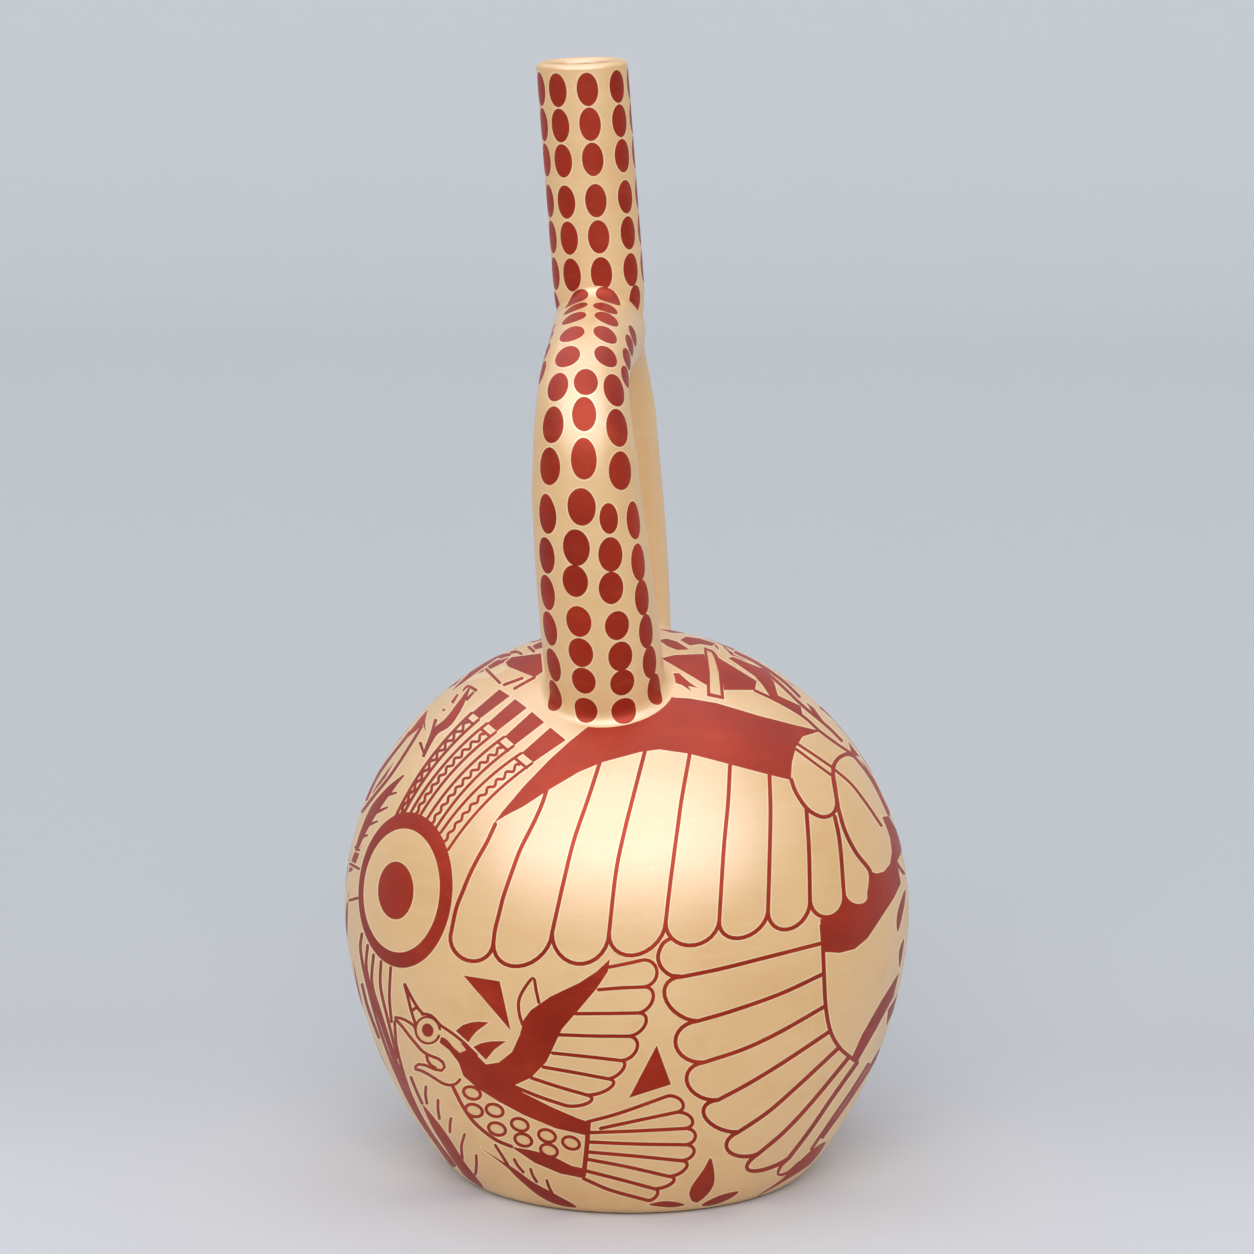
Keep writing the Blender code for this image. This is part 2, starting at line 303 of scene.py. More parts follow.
def arch_tangent(run):
    """Direction of the centre line."""
    return unit(arch_centre(run + 1e-3) - arch_centre(run - 1e-3))


def arch_frame(run):
    """Directions across the tube: away from the loop, and to the viewer's right from the front."""
    tangent = arch_tangent(run)
    right = unit(np.array([1.0, 0, 0]) - tangent[..., :1] * tangent)
    return np.cross(right, tangent), right


def arch_radius(run):
    """Outer radius of the tube."""
    return np.interp(run, ARCH_RUN, ARCH[:, 3])


def around_centre(run, turn, radius):
    """Places beside the centre line, at a turn and a distance from it."""
    out, right = arch_frame(run)
    return arch_centre(run) + radius * (np.cos(turn)[:, None] * out + np.sin(turn)[:, None] * right)


def arch_point(chart):
    """Place on the arch of chart points: turn times the mean radius, and run along the centre line."""
    chart = np.asarray(chart, float)
    turn, run = chart[:, 0] / ARCH_MEAN_RADIUS, chart[:, 1]
    return around_centre(run, turn, arch_radius(run)[:, None])


def surface_normal(place, chart, step=1e-4):
    """Outward direction of a charted surface, from neighbouring points."""
    chart = np.asarray(chart, float)
    across = place(chart + [step, 0]) - place(chart - [step, 0])
    along = place(chart + [0, step]) - place(chart - [0, step])
    return unit(np.cross(across, along))


# The spout as a leaning tube

SPOUT_FOOT = np.array([SPOUT_SIDE, 0.0, CROWN_HEIGHT])
SPOUT_AXIS = np.array([-math.sin(SPOUT_LEAN), 0.0, math.cos(SPOUT_LEAN)])
SPOUT_RIGHT = np.array([math.cos(SPOUT_LEAN), 0.0, math.sin(SPOUT_LEAN)])


def spout_radius(height):
    """Outer radius of the spout, tucked in a little where it meets the crown."""
    tuck_top = CROWN_TUBE_RADIUS + SPOUT_FILLET
    tuck_low = CROWN_TUBE_RADIUS / 3
    share = np.clip((tuck_top - height) / (tuck_top - tuck_low), 0, 1)
    return SPOUT_RADIUS - SPOUT_TUCK * share**2


def spout_place(turn, radius, height):
    """Place of a point of the spout; turn 0 faces the front, and the mouth is trimmed at a slant."""
    x, y = radius * np.sin(turn), -radius * np.cos(turn)
    trim = x * math.tan(MOUTH_TRIM) * np.maximum(height / SPOUT_LENGTH - TRIM_START, 0) / (1 - TRIM_START)
    height = height - trim
    return (
        SPOUT_FOOT
        + x[..., None] * SPOUT_RIGHT
        + y[..., None] * np.array([0.0, 1.0, 0.0])
        + height[..., None] * SPOUT_AXIS
    )


def spout_point(chart):
    """Place on the spout's wall of chart points: turn times the radius, and height."""
    chart = np.asarray(chart, float)
    return spout_place(chart[:, 0] / SPOUT_RADIUS, spout_radius(chart[:, 1]), chart[:, 1])


# One shared mesh

MERGE_DISTANCE = 2e-6
# Points of the inner space closer than this to a known place are that place
CORNER_DISTANCE = 1e-5


class Skin:
    """Collects the patches of the painted skin before they become one mesh."""

    def __init__(self):
        self.points, self.normals, self.faces, self.paints = [], [], [], []
        self.count = 0

    def add(self, points, normals, faces, paints):
        """Takes in one patch, with its faces numbered from its own first point."""
        faces = np.asarray(faces)
        self.points.append(points)
        self.normals.append(normals)
        self.faces.append(faces + self.count)
        self.paints.append(np.broadcast_to(paints, len(faces)))
        self.count += len(points)

    def make(self, name, materials):
        """Builds the mesh, with the vertices that patches share merged into one."""
        points = np.concatenate(self.points)
        normals = np.concatenate(self.normals)
        faces = np.concatenate(self.faces)
        paints = np.concatenate(self.paints)
        keys = np.round(points / MERGE_DISTANCE).astype(np.int64)
        _, first, back = np.unique(keys, axis=0, return_index=True, return_inverse=True)
        faces = back.reshape(-1)[faces]
        whole = np.all(faces != np.roll(faces, -1, 1), axis=1)
        faces, paints = faces[whole], paints[whole]
        mesh = bpy.data.meshes.new(name)
        mesh.from_pydata(points[first].tolist(), [], faces.tolist())
        for material in materials:
            mesh.materials.append(material)
        mesh.polygons.foreach_set("material_index", paints.astype(np.int32))
        mesh.polygons.foreach_set("use_smooth", np.ones(len(faces), bool))
        mesh.validate()
        mesh.normals_split_custom_set_from_vertices(normals[first].tolist())
        item = bpy.data.objects.new(name, mesh)
        bpy.context.collection.objects.link(item)
        return item


# Places of the four materials on the mesh
CREAM, RED, HALO, INSIDE = range(4)

# Shares of a chart's width: outlines closer than the first are joined, and places where outlines
# cross that are closer than the second to the border are drawn to it
CUT_TOLERANCE = 1e-6
BORDER_TOLERANCE = 2e-5


def on_loop(points, loop, reach):
    """For points closer than reach to a closed loop's sides, the nearest corner of it."""
    ends = np.roll(loop, -1, 0)
    sides = ends - loop
    lengths = np.maximum(np.sum(sides**2, axis=1), 1e-18)
    share = np.clip(np.sum((points[:, None] - loop) * sides, axis=2) / lengths, 0, 1)
    gap = np.linalg.norm(loop + share[..., None] * sides - points[:, None], axis=2)
    side = gap.argmin(1)
    rows = np.arange(len(points))
    corner = np.where(share[rows, side] < 0.5, side, (side + 1) % len(loop))
    return gap[rows, side] < reach, loop[corner]


def inside_polygon(points, polygon):
    """Which points are inside a closed polygon, also where the polygon overlaps itself."""
    low, high = polygon.min(0), polygon.max(0)
    near = np.all((points >= low) & (points <= high), axis=1)
    result = np.zeros(len(points), bool)
    some = np.nonzero(near)[0]
    if len(some) == 0:
        return result
    x, y = points[some, 0][:, None], points[some, 1][:, None]
    x1, y1 = polygon[:, 0], polygon[:, 1]
    x2, y2 = np.roll(x1, -1), np.roll(y1, -1)
    spans = (y1 > y) != (y2 > y)
    with np.errstate(divide="ignore", invalid="ignore"):
        cross = x1 + (y - y1) / (y2 - y1) * (x2 - x1)
    upward = np.where(y2 > y1, 1, -1)
    result[some] = np.sum(upward * (spans & (x < cross)), axis=1) != 0
    return result


def paint_patch(skin, place, normal, fill, border, holes, paint):
    """Triangulates a chart inside its border, cut along every painted outline, and paints its triangles.

    paint is a list of (slot, outline), and a later outline lies over an earlier one.
    """
    loops = [border] + holes + [outline for _, outline in paint]
    points = [np.asarray(fill)]
    edges = []
    count = len(fill)
    for loop in loops:
        index = np.arange(len(loop)) + count
        edges += list(zip(index.tolist(), np.roll(index, -1).tolist()))
        points.append(loop)
        count += len(loop)
    flat = [Vector(p) for p in np.concatenate(points).tolist()]
    scale = float(np.ptp(border[:, 0]))
    exact = np.concatenate(points)
    made, _, triangles, sources, *_ = delaunay_2d_cdt(flat, edges, [], 0, scale * CUT_TOLERANCE)
    crossing = np.nonzero([not source for source in sources])[0]
    made = np.array([exact[s[0]] if s else (p[0], p[1]) for p, s in zip(made, sources)])
    for loop in [border] + holes:
        if len(crossing):
            touching, corners = on_loop(made[crossing], loop, scale * BORDER_TOLERANCE)
            made[crossing[touching]] = corners[touching]
    triangles = np.array(triangles)
    centre = made[triangles].mean(1)
    keep = inside_polygon(centre, border)
    for hole in holes:
        keep &= ~inside_polygon(centre, hole)
    triangles, centre = triangles[keep], centre[keep]
    slots = np.full(len(triangles), CREAM)
    for slot, outline in paint:
        slots[inside_polygon(centre, outline)] = slot
    used, triangles = np.unique(triangles, return_inverse=True)
    triangles = triangles.reshape(-1, 3)
    made = made[used]
    points = place(made)
    skin.add(points, normal(made, points), triangles, slots)


def add_grid(skin, grid, paint, flip=False):
    """A closed band of faces through rings of points, with smooth normals."""
    rows, columns = grid.shape[:2]
    around = np.roll(grid, -1, 1) - np.roll(grid, 1, 1)
    along = np.gradient(grid, axis=0)
    normals = unit(np.cross(around, along))
    index = np.arange(rows * columns).reshape(rows, columns)
    a, b = index[:-1], np.roll(index, -1, 1)[:-1]
    c, d = np.roll(index, -1, 1)[1:], index[1:]
    first = np.stack([a, b, c], -1).reshape(-1, 3)
    second = np.stack([a, c, d], -1).reshape(-1, 3)
    faces = np.concatenate([first, second])
    if flip:
        faces = faces[:, ::-1]
        normals = -normals
    skin.add(grid.reshape(-1, 3), normals.reshape(-1, 3), faces, paint)


def find_root(gap, low, high, steps=40):
    """Where gap turns from below zero at low to above zero at high, for arrays of brackets."""
    low, high = np.array(low, float), np.array(high, float)
    for _ in range(steps):
        middle = (low + high) / 2
        below = gap(middle) < 0
        low, high = np.where(below, middle, low), np.where(below, high, middle)
    return (low + high) / 2


FOOT_SIDES = 120
SEAT_SIDES = 96
SEAM_STEP = 0.0012
FLARE_STRETCH = 1.6
FOOT_LENGTH = FLARE_STRETCH * ROOT_FILLET
# A leg meets the belly within this share of the arch's length from its end
FOOT_SEARCH = 0.22
# The spout's wall leaves the crown below this height above the spout's foot
SEAT_SEARCH = 0.02


def leg_foot(face):
    """Rings where a leg meets the belly: on the leg's chart, the meeting line, on the belly's chart."""
    turn = ring_turns(FOOT_SIDES, -math.pi)
    across = turn * ARCH_MEAN_RADIUS
    end = ARCH_RUN[-1]
    below, above = (1e-3, end * FOOT_SEARCH) if face < 0 else (end - 1e-3, end * (1 - FOOT_SEARCH))
    meeting = find_root(
        lambda run: belly_gap(arch_point(np.stack([across, run], 1))),
        np.full(len(turn), below),
        np.full(len(turn), above),
    )
    leg_chart = np.stack([across, meeting - face * ROOT_FILLET], 1)
    meeting_points = arch_point(np.stack([across, meeting], 1))
    belly = belly_chart(meeting_points)
    away = unit(belly - belly.mean(0))
    scale = np.linalg.norm(belly, axis=1) / np.hypot(
        meeting_points[:, 0] - belly_side(meeting_points[:, 2]), meeting_points[:, 1]
    )
    belly_ring = belly + away * (scale * ROOT_FILLET)[:, None]
    return leg_chart, meeting_points, belly_ring


def from_crown(points):
    """Run of the nearest place on the crown's centre line, and the offset from it."""
    run = np.interp(points[:, 1], ARCH[CROWN, 1], ARCH_RUN[CROWN])
    for _ in range(3):
        run = run + np.sum((points - arch_centre(run)) * arch_tangent(run), axis=1)
    return run, points - arch_centre(run)


def arch_gap(points):
    """How far points near the crown are outside the arch's tube."""
    run, offset = from_crown(points)
    return np.linalg.norm(offset, axis=1) - arch_radius(run)


def arch_chart(points):
    """Chart place on the arch of points near the crown."""
    run, offset = from_crown(points)
    out, right = arch_frame(run)
    turn = np.arctan2(np.sum(offset * right, axis=1), np.sum(offset * out, axis=1))
    return np.stack([turn * ARCH_MEAN_RADIUS, run], 1)


def spout_seat():
    """Where the spout meets the crown: rings on the spout's chart, the meeting line, on the arch's chart.

    A fourth ring bounds the hole in the arch's chart, and the last value is the middle of the rings.
    """
    turn = ring_turns(SEAT_SIDES, -math.pi)

    def place(height):
        return spout_place(turn, spout_radius(height), height)

    ends = np.zeros(len(turn)), np.full(len(turn), SEAT_SEARCH)
    meeting = find_root(lambda height: arch_gap(place(height)), *ends)
    size = SIDE_FILLET + (SPOUT_FILLET - SIDE_FILLET) * np.cos(turn) ** 2
    spout_chart = np.stack([turn * SPOUT_RADIUS, meeting + size], 1)
    meeting_points = place(meeting)
    crown = arch_chart(meeting_points)
    centre = np.array([crown[:, 0].mean(), crown[:, 1].mean()])
    away = unit(crown - centre)
    crown_ring = crown + away * size[:, None]
    hole = crown_ring - away * size[:, None] * FLARE_STRETCH
    return spout_chart, meeting_points, crown_ring, hole, centre


def flare(start, corner, end, share):
    """A rounded path from start to end that leaves each along its line to the corner."""
    pull = 0.5523
    share = np.clip(share, 0, 1)[:, None]
    first = start + (corner - start) * pull
    last = end + (corner - end) * pull
    return (
        start * (1 - share) ** 3
        + first * 3 * share * (1 - share) ** 2
        + last * 3 * share**2 * (1 - share)
        + end * share**3
    )


def around(position, samples, values):
    """Values between samples taken once round a ring, for positions anywhere on it."""
    period = 2 * math.pi
    if values.ndim == 1:
        return np.interp(position, samples, values, period=period)
    return np.stack([np.interp(position, samples, values[:, k], period=period) for k in range(3)], 1)


class ArchSkin:
    """The arch as one charted surface that flares onto the belly and up the spout."""

    def __init__(self, feet, seat):
        self.feet, self.seat = feet, seat
        self.ends = [belly_point(foot[2]) for foot in feet]
        self.seat_end = spout_point(seat[0])
        self.seat_centre = seat[4]
        offset = seat[2] - self.seat_centre
        self.seat_turn = np.arctan2(offset[:, 1], offset[:, 0])
        self.seat_reach = np.hypot(offset[:, 0], offset[:, 1])
        self.seat_width = self.seat_reach - np.linalg.norm(seat[3] - self.seat_centre, axis=1)

    def foot_border(self, which):
        """Chart places where a foot ends on the belly."""
        face = (-1, 1)[which]
        return self.feet[which][0] + [0, face * FOOT_LENGTH]

    def place(self, chart):
        """Place of chart points, on the tube or on one of its flares."""
        chart = np.array(chart, float)
        points = arch_point(chart)
        turn = chart[:, 0] / ARCH_MEAN_RADIUS
        for face, foot, end in zip((-1, 1), self.feet, self.ends):
            samples = foot[0][:, 0] / ARCH_MEAN_RADIUS
            depth = face * (chart[:, 1] - around(turn, samples, foot[0][:, 1]))
            some = depth > 0
            at = turn[some]
            edge = np.stack([chart[some, 0], around(at, samples, foot[0][:, 1])], 1)
            points[some] = flare(
                arch_point(edge),
                around(at, samples, foot[1]),
                around(at, samples, end),
                depth[some] / FOOT_LENGTH,
            )
        offset = chart - self.seat_centre
        angle = np.arctan2(offset[:, 1], offset[:, 0])
        reach = around(angle, self.seat_turn, self.seat_reach)
        depth = reach - np.hypot(offset[:, 0], offset[:, 1])
        some = depth > 0
        at = angle[some]
        edge = self.seat_centre + np.stack([np.cos(at), np.sin(at)], 1) * reach[some, None]
        points[some] = flare(
            arch_point(edge),
            around(at, self.seat_turn, self.seat[1]),
            around(at, self.seat_turn, self.seat_end),
            depth[some] / around(at, self.seat_turn, self.seat_width),
        )
        return points


# Paint outlines

def smooth(points, closed=True, step=4.0):
    """A smooth curve through points, about one place for each step of length."""
    points = np.asarray(points, float)
    count = len(points)
    if not closed:
        before, beyond = 2 * points[:1] - points[1:2], 2 * points[-1:] - points[-2:-1]
        points = np.concatenate([before, points, beyond])
    rows = []
    for k in range(count if closed else count - 1):
        if closed:
            a, b, c, d = (points[(k + j - 1) % count] for j in range(4))
        else:
            a, b, c, d = points[k : k + 4]
        parts = max(int(np.linalg.norm(c - b) / step + 0.5), 1)
        t = (np.arange(parts) / parts)[:, None]
        rows.append(
            0.5
            * (2 * b + (c - a) * t + (2 * a - 5 * b + 4 * c - d) * t**2 + (3 * b - a - 3 * c + d) * t**3)
        )
    if not closed:
        rows.append(points[-2:-1])
    return np.concatenate(rows)


def straight(points, step=4.0):
    """A closed outline with straight sides, about one place for each step of length."""
    points = np.asarray(points, float)
    rows = []
    for k in range(len(points)):
        a, b = points[k], points[(k + 1) % len(points)]
        parts = max(int(np.linalg.norm(b - a) / step + 0.5), 1)
        rows.append(a + (b - a) * (np.arange(parts) / parts)[:, None])
    return np.concatenate(rows)


def directions(line):
    """Unit directions along a line and across it."""
    along = unit(np.gradient(line, axis=0))
    return along, np.stack([-along[:, 1], along[:, 0]], 1)


def ribbon(line, width):
    """The outline of a painted stroke along a line, with blunt round ends."""
    line = np.asarray(line, float)
    along, across = directions(line)
    across = across * width / 2
    cap = along * width / 2
    head = [line[0] - cap[0] * 0.9]
    tail = [line[-1] + cap[-1] * 0.9]
    return np.concatenate([line + across, tail, (line - across)[::-1], head])


def stroke(line, width):
    """A painted stroke along a smooth line through points."""
    return ribbon(smooth(line, closed=False), width)


def ellipse(centre, half_width, half_height, sides, tilt=0.0):
    """An oval, turned by its tilt."""
    turn = ring_turns(sides)
    x, y = half_width * np.cos(turn), half_height * np.sin(turn)
    sine, cosine = math.sin(tilt), math.cos(tilt)
    return np.stack([centre[0] + x * cosine - y * sine, centre[1] + x * sine + y * cosine], 1)


def grown(outline, reach):
    """A closed outline moved outwards all round."""
    ahead = np.roll(outline, -1, 0) - outline
    behind = outline - np.roll(outline, 1, 0)
    area = np.sum(outline[:, 0] * ahead[:, 1] - outline[:, 1] * ahead[:, 0])
    ahead /= np.maximum(np.linalg.norm(ahead, axis=1, keepdims=True), 1e-12)
    behind /= np.maximum(np.linalg.norm(behind, axis=1, keepdims=True), 1e-12)
    along = ahead + behind
    length = np.linalg.norm(along, axis=1, keepdims=True)
    along = np.where(length > 1e-6, along / np.maximum(length, 1e-6), ahead)
    stretch = 2 / np.maximum(length, 1.2)
    out = np.stack([along[:, 1], -along[:, 0]], 1) * math.copysign(1, area)
    return outline + out * stretch * reach


# A ray meets the belly within this stretch of where it passes nearest to the middle
RAY_SEARCH = (-0.1, 0.02)
RAY_STEPS = 241


def photo_to_belly(pixels):
    """Chart places on the belly of points in the photograph, along the camera's rays."""
    pixels = np.asarray(pixels, float)
    place, right, up, forward = camera_axes()
    half = PHOTO_SIDE / 2
    rays = (
        forward
        + right * (pixels[:, :1] - half) / FOCAL_PIXELS
        - up * (pixels[:, 1:] - half) / FOCAL_PIXELS
    )
    rays = unit(rays)
    nearest = -np.sum((place[:2] * rays[:, :2]), axis=1) / np.sum(rays[:, :2] ** 2, axis=1)
    reach = np.linspace(*RAY_SEARCH, RAY_STEPS)
    runs = nearest[:, None] + reach
    gaps = belly_gap(place + runs[..., None] * rays[:, None, :])
    enters = (gaps[:, :-1] > 0) & (gaps[:, 1:] <= 0)
    found = enters.any(1)
    index = np.where(found, enters.argmax(1), gaps.argmin(1))
    rows = np.arange(len(pixels))
    low = runs[rows, index]
    high = runs[rows, np.minimum(index + 1, runs.shape[1] - 1)]
    root = find_root(lambda run: -belly_gap(place + run[:, None] * rays), low, high)
    run = np.where(found, root, low)
    return belly_chart(place + run[:, None] * rays)


# The painting on the belly, as outlines and widths in pixels of the photograph

LINE = 4.1
FINE_LINE = 3.0
BIRD_LINE = 3.6
LOBE_LINE = 2.8
BIRD_HEAD_LINE = 3.1
BIRD_TAIL_LINE = 5.0
LEAF_LINE = 3.3
SPRIG_WIDTHS = (1.5, 7, 9, 6, 3)
BARB_WIDTHS = (3.5, 2)
HALO_WIDTH = 1.25

WING_BAND = [
    (494, 823), (502, 812), (523.6, 786.4), (548.5, 760.5), (570, 741), (588.7, 726), (612, 716),
    (640, 706), (668.7, 697), (690, 698.5), (716.5, 703), (758.6, 715.6), (795, 725), (820.8, 731),
    (802.6, 736.6), (796, 747), (792, 762.4), (790.8, 780), (770, 775), (730, 764.4), (689.7, 753.8),
    (659, 749.4), (640, 752), (602, 762.4), (579, 772), (548.5, 790), (523.6, 806.4), (505, 816),
]
WING_FEATHERS = [
    [(495.5, 823.7), (487, 842), (478, 858), (469.5, 875), (462.5, 892), (456, 909), (450.4, 936)],
    [(547, 789), (542, 804), (535, 820), (528, 834), (520, 850), (514, 866), (509, 880), (503, 898),
     (499, 914), (495, 930), (493.4, 943)],
    [(600, 762), (588, 799), (574, 840), (564, 880), (552, 933)],
    [(645, 751), (632, 801), (624.5, 831), (616, 872), (609, 933)],
    [(689.7, 754), (682, 797), (678, 825), (670.4, 882), (665.7, 922)],
    [(730, 765), (728, 803), (723.7, 850), (719.3, 920)],
    [(769.5, 775), (770.5, 812), (769.5, 860), (768, 912)],
    [(806.4, 809), (809, 850), (810, 901)],
    [(834.7, 816), (840, 844), (844, 895)],
    [(837.5, 805.6), (845, 831), (856, 852.5), (869.7, 870.7), (870.5, 884), (869, 893)],
]
WING_TIPS = [
    (470, 961), (521, 966), (580, 964), (636, 955), (691, 945.5), (741, 938), (789.5, 929), (829, 917),
    (860, 906),
]
LOBES = [
    [(791, 779), (796, 792.5), (807, 808.5), (817.6, 815.5), (825, 817), (832.5, 814), (836.7, 806),
     (835.7, 791), (832.8, 774)],
    [(854, 756), (848, 754), (840, 757), (834, 765), (833.3, 778), (835.7, 793), (838, 806)],
]
LOBE_LINES = [
    [(797.3, 743.7), (815, 755.5), (832.5, 767.5)],
    [(796, 749), (814, 762.5), (832.5, 776)],
    [(834.7, 769.5), (851.7, 784.5), (866.7, 804), (881.6, 826)],
    [(754.7, 690.4), (777, 701), (802.7, 716), (819.7, 731), (836.8, 743.7), (854, 756.5), (873, 782),
     (889, 815)],
]
RIGHT_SOLID = [
    (820, 919), (829.4, 918), (839, 911.7), (843.7, 896), (850, 904), (860, 907.8), (868.6, 898),
    (869.8, 871.5), (877, 873.5), (884, 871.5), (890, 864), (891.8, 852), (890, 838), (886, 826),
    (882, 817), (888.7, 816), (896, 829), (903, 848.5), (897, 862), (901, 883), (894, 898), (879, 921),
    (867.7, 938), (855, 949), (839.5, 953), (825, 952), (822, 936),
]

DISC_RIM, DISC_RIM_SIZE = (405.5, 890), (47.0, 78)
DISC_FIELD, DISC_FIELD_SIZE = (401.6, 890.5), (38, 62)
DISC_TILT = 0.06
DISC_DOT, DISC_DOT_SIZE = (395.8, 890.5), (17.8, 29)

TASSEL_BLOCKS = [
    [(499.4, 689.2), (509.9, 696), (479.7, 718.8), (472, 712.7)],
    [(515, 698.9), (526.9, 707.9), (496.9, 731.4), (487.3, 723.2)],
    [(531.9, 711.7), (544.3, 722.3), (514.5, 745.2), (504.5, 736.6)],
    [(550.4, 727.4), (565.8, 740), (533.2, 762.4), (521.7, 752.9)],
]
TASSEL_ENDS = [
    [(395.5, 817), (404, 813)], [(411, 812), (420.5, 815)], [(427, 819), (436, 828)],
    [(440.5, 833), (448, 850)],
]

BLADES = [
    [(455.7, 1030.8), (462.7, 1025), (470.8, 1022.4), (479, 1021.5), (488.9, 1022.4), (483.7, 1026.2),
     (476.7, 1031.4), (472, 1036.7), (468.5, 1042.3), (462.1, 1036.7)],
    [(473.2, 1046.8), (481.3, 1043.1), (490.7, 1041.3), (506.4, 1041), (495, 1049), (486, 1059.8),
     (479.6, 1053.6)],
    [(463.4, 975.5), (499.7, 981.2), (510.7, 1030.6)],
    [(656.7, 1045.3), (671, 1084.5), (629, 1097.9)],
    [(852.4, 1056.2), (862, 1034.8), (880, 1003), (899.3, 971.7), (893.6, 996.5), (876.4, 1029),
     (857.2, 1062.5)],
    [(903, 985), (898, 1001), (886, 1027), (888, 1010)],
    [(717.5, 657), (756.7, 681), (754.8, 690), (724, 690), (721.5, 674.4)],
    [(661, 658.2), (674.4, 655), (704, 653.8), (706, 663), (708, 686), (691.7, 676.3), (672.5, 664.9)],
    [(658.7, 640), (667, 638.5), (677, 641.5), (689.5, 649.5), (677, 650), (667, 646)],
    [(680, 640), (686, 636.5), (700, 638.5), (716, 643.5), (712, 646), (700, 644), (690, 645.5)],
    [(658, 629), (672, 630), (690, 633.5), (672, 632.8)],
    [(505.5, 662), (512, 657), (541, 653.4), (542.8, 671.6), (534.8, 677.3), (508.4, 666.8)],
    [(671.5, 673.3), (679, 673), (685, 678.5), (689.6, 682.5), (698, 688), (688, 686), (691.7, 691.5),
     (682, 685), (671.5, 682)],
    [(728, 658), (733, 656.8), (762.4, 668.7), (774, 682), (778, 695.5), (800.7, 706), (802.6, 714.6),
     (772, 699.3), (762.4, 685), (754.8, 676.3), (735.7, 663)],
    [(806, 702), (814, 708), (829, 729), (822, 723), (812, 712)],
    [(848, 741), (860, 757), (852, 755)],
    [(859.5, 757), (875, 780), (890, 812), (888.5, 814), (873, 783)],
    [(450, 692), (470, 672), (492, 658), (508, 652), (496, 659), (480, 670), (460, 685)],
    [(428, 709), (420, 718), (410, 731), (407, 738), (416, 731), (423, 724), (426, 733), (425, 721)],
]
LEAVES = [
    [(710.9, 1158), (714.7, 1178.3), (709.9, 1191.7), (696.5, 1202.8), (689.8, 1197.4), (690.8, 1187.8),
     (704, 1168.7)],
    [(701.3, 1205), (719.5, 1195.5), (739, 1191.3), (729, 1199.3), (711.8, 1205.4)],
    [(648.7, 1204.7), (667, 1201), (685, 1204.7), (669.7, 1207.4)],
    [(757.7, 1195.5), (782.6, 1178.3), (803.7, 1157), (815, 1147.7), (826, 1142), (811.3, 1163),
     (786.4, 1180), (773, 1188)],
    [(423, 1105), (440, 1125), (452, 1142), (464.5, 1162), (483.5, 1187.5), (466, 1177), (455, 1163),
     (443, 1145), (430, 1123)],
    [(480.5, 1147.7), (500, 1160), (515, 1169), (533, 1182), (556, 1194.5), (577, 1207), (558, 1205),
     (539, 1196), (519, 1179.5), (505, 1166)],
    [(905, 889), (904.5, 905), (898, 932), (897, 915)],
    [(904, 938), (903, 950), (899.5, 968), (899, 952)],
]
SPRIGS = [
    [(404, 775), (391, 788), (376, 807), (364, 830), (356, 851)],
    [(470, 687), (460, 705), (448, 722), (436, 731), (430, 741), (423, 757)],
]
SPRIG_BARBS = [
    [(384, 796), (397, 792.5)], [(375, 813), (388, 807)], [(366, 826), (378, 821)],
    [(359, 838), (368, 835)], [(355, 846), (360, 851)], [(436, 719), (431, 734)],
    [(477, 691), (468, 686), (463, 691)],
    [(466, 700), (474, 692)], [(452, 703), (458, 694)], [(443, 709), (444.5, 711)],
    [(420, 742), (424, 754)], [(434, 736), (439, 731)],
]
LEFT_LINES = [
    [(362, 933.4), (360.5, 948.7), (365.5, 977.4), (379, 1027), (396, 1073), (417, 1115), (453, 1167)],
    [(367.7, 944.9), (366.3, 967.8), (373, 996.5), (386.5, 1038.6), (403.5, 1084.5), (421, 1117)],
    [(373.5, 954.4), (372, 983), (380, 1011.8), (393.6, 1053.9), (407, 1088.4)],
    [(381, 961), (380.6, 987), (387.8, 1019.5), (397.4, 1057.7)],
    [(390.7, 967), (389.4, 996.5), (391.5, 1022)],
    [(394.5, 1021.4), (397.4, 1050), (409.8, 1092), (428, 1128.5), (455, 1166)],
    [(410.8, 1076.9), (416, 1090), (422.3, 1103.7)],
    [(426, 1086.4), (425.5, 1095), (427, 1103.7)],
    [(438, 1099.8), (438, 1109), (439.5, 1119)],
    [(451, 1118), (450, 1125), (450, 1132.4)],
    [(464.7, 1134), (461.5, 1146), (462.4, 1159)],
    [(476.2, 1155), (476.5, 1165), (475.5, 1174.4)],
    [(495, 1144.8), (501, 1154), (508.4, 1165.8)],
    [(514, 1159), (518, 1166), (523.7, 1172.5)],
    [(530.4, 1168.7), (533, 1176), (537, 1182)],
    [(546.6, 1180), (549, 1187), (552.4, 1193.6)],
    [(350, 863.8), (354, 866), (359, 869)],
    [(349, 900.5), (353, 899.5), (357.5, 898)],
    [(534.8, 677.3), (526, 682), (514, 688.8)],
    [(522.7, 678), (513, 681.5), (503.6, 685)],
    [(500, 657.5), (505, 655.5), (510, 654.5)],
    [(511, 652.5), (516, 651.5), (521.7, 654)],
    [(528.4, 646.7), (531, 649), (534, 651.5)],
    [(486, 669), (493, 676), (500, 683)],
    [(422, 726), (406, 752), (390, 776), (374, 796), (362, 812)],
    [(410, 732), (380, 772), (366, 800)],
    [(362, 984), (368, 1008), (379, 1038)],
]
STRAP = [(703.6, 647), (712.5, 650), (717.3, 655), (722, 672), (724.3, 699.5), (707, 696), (706.6, 673)]
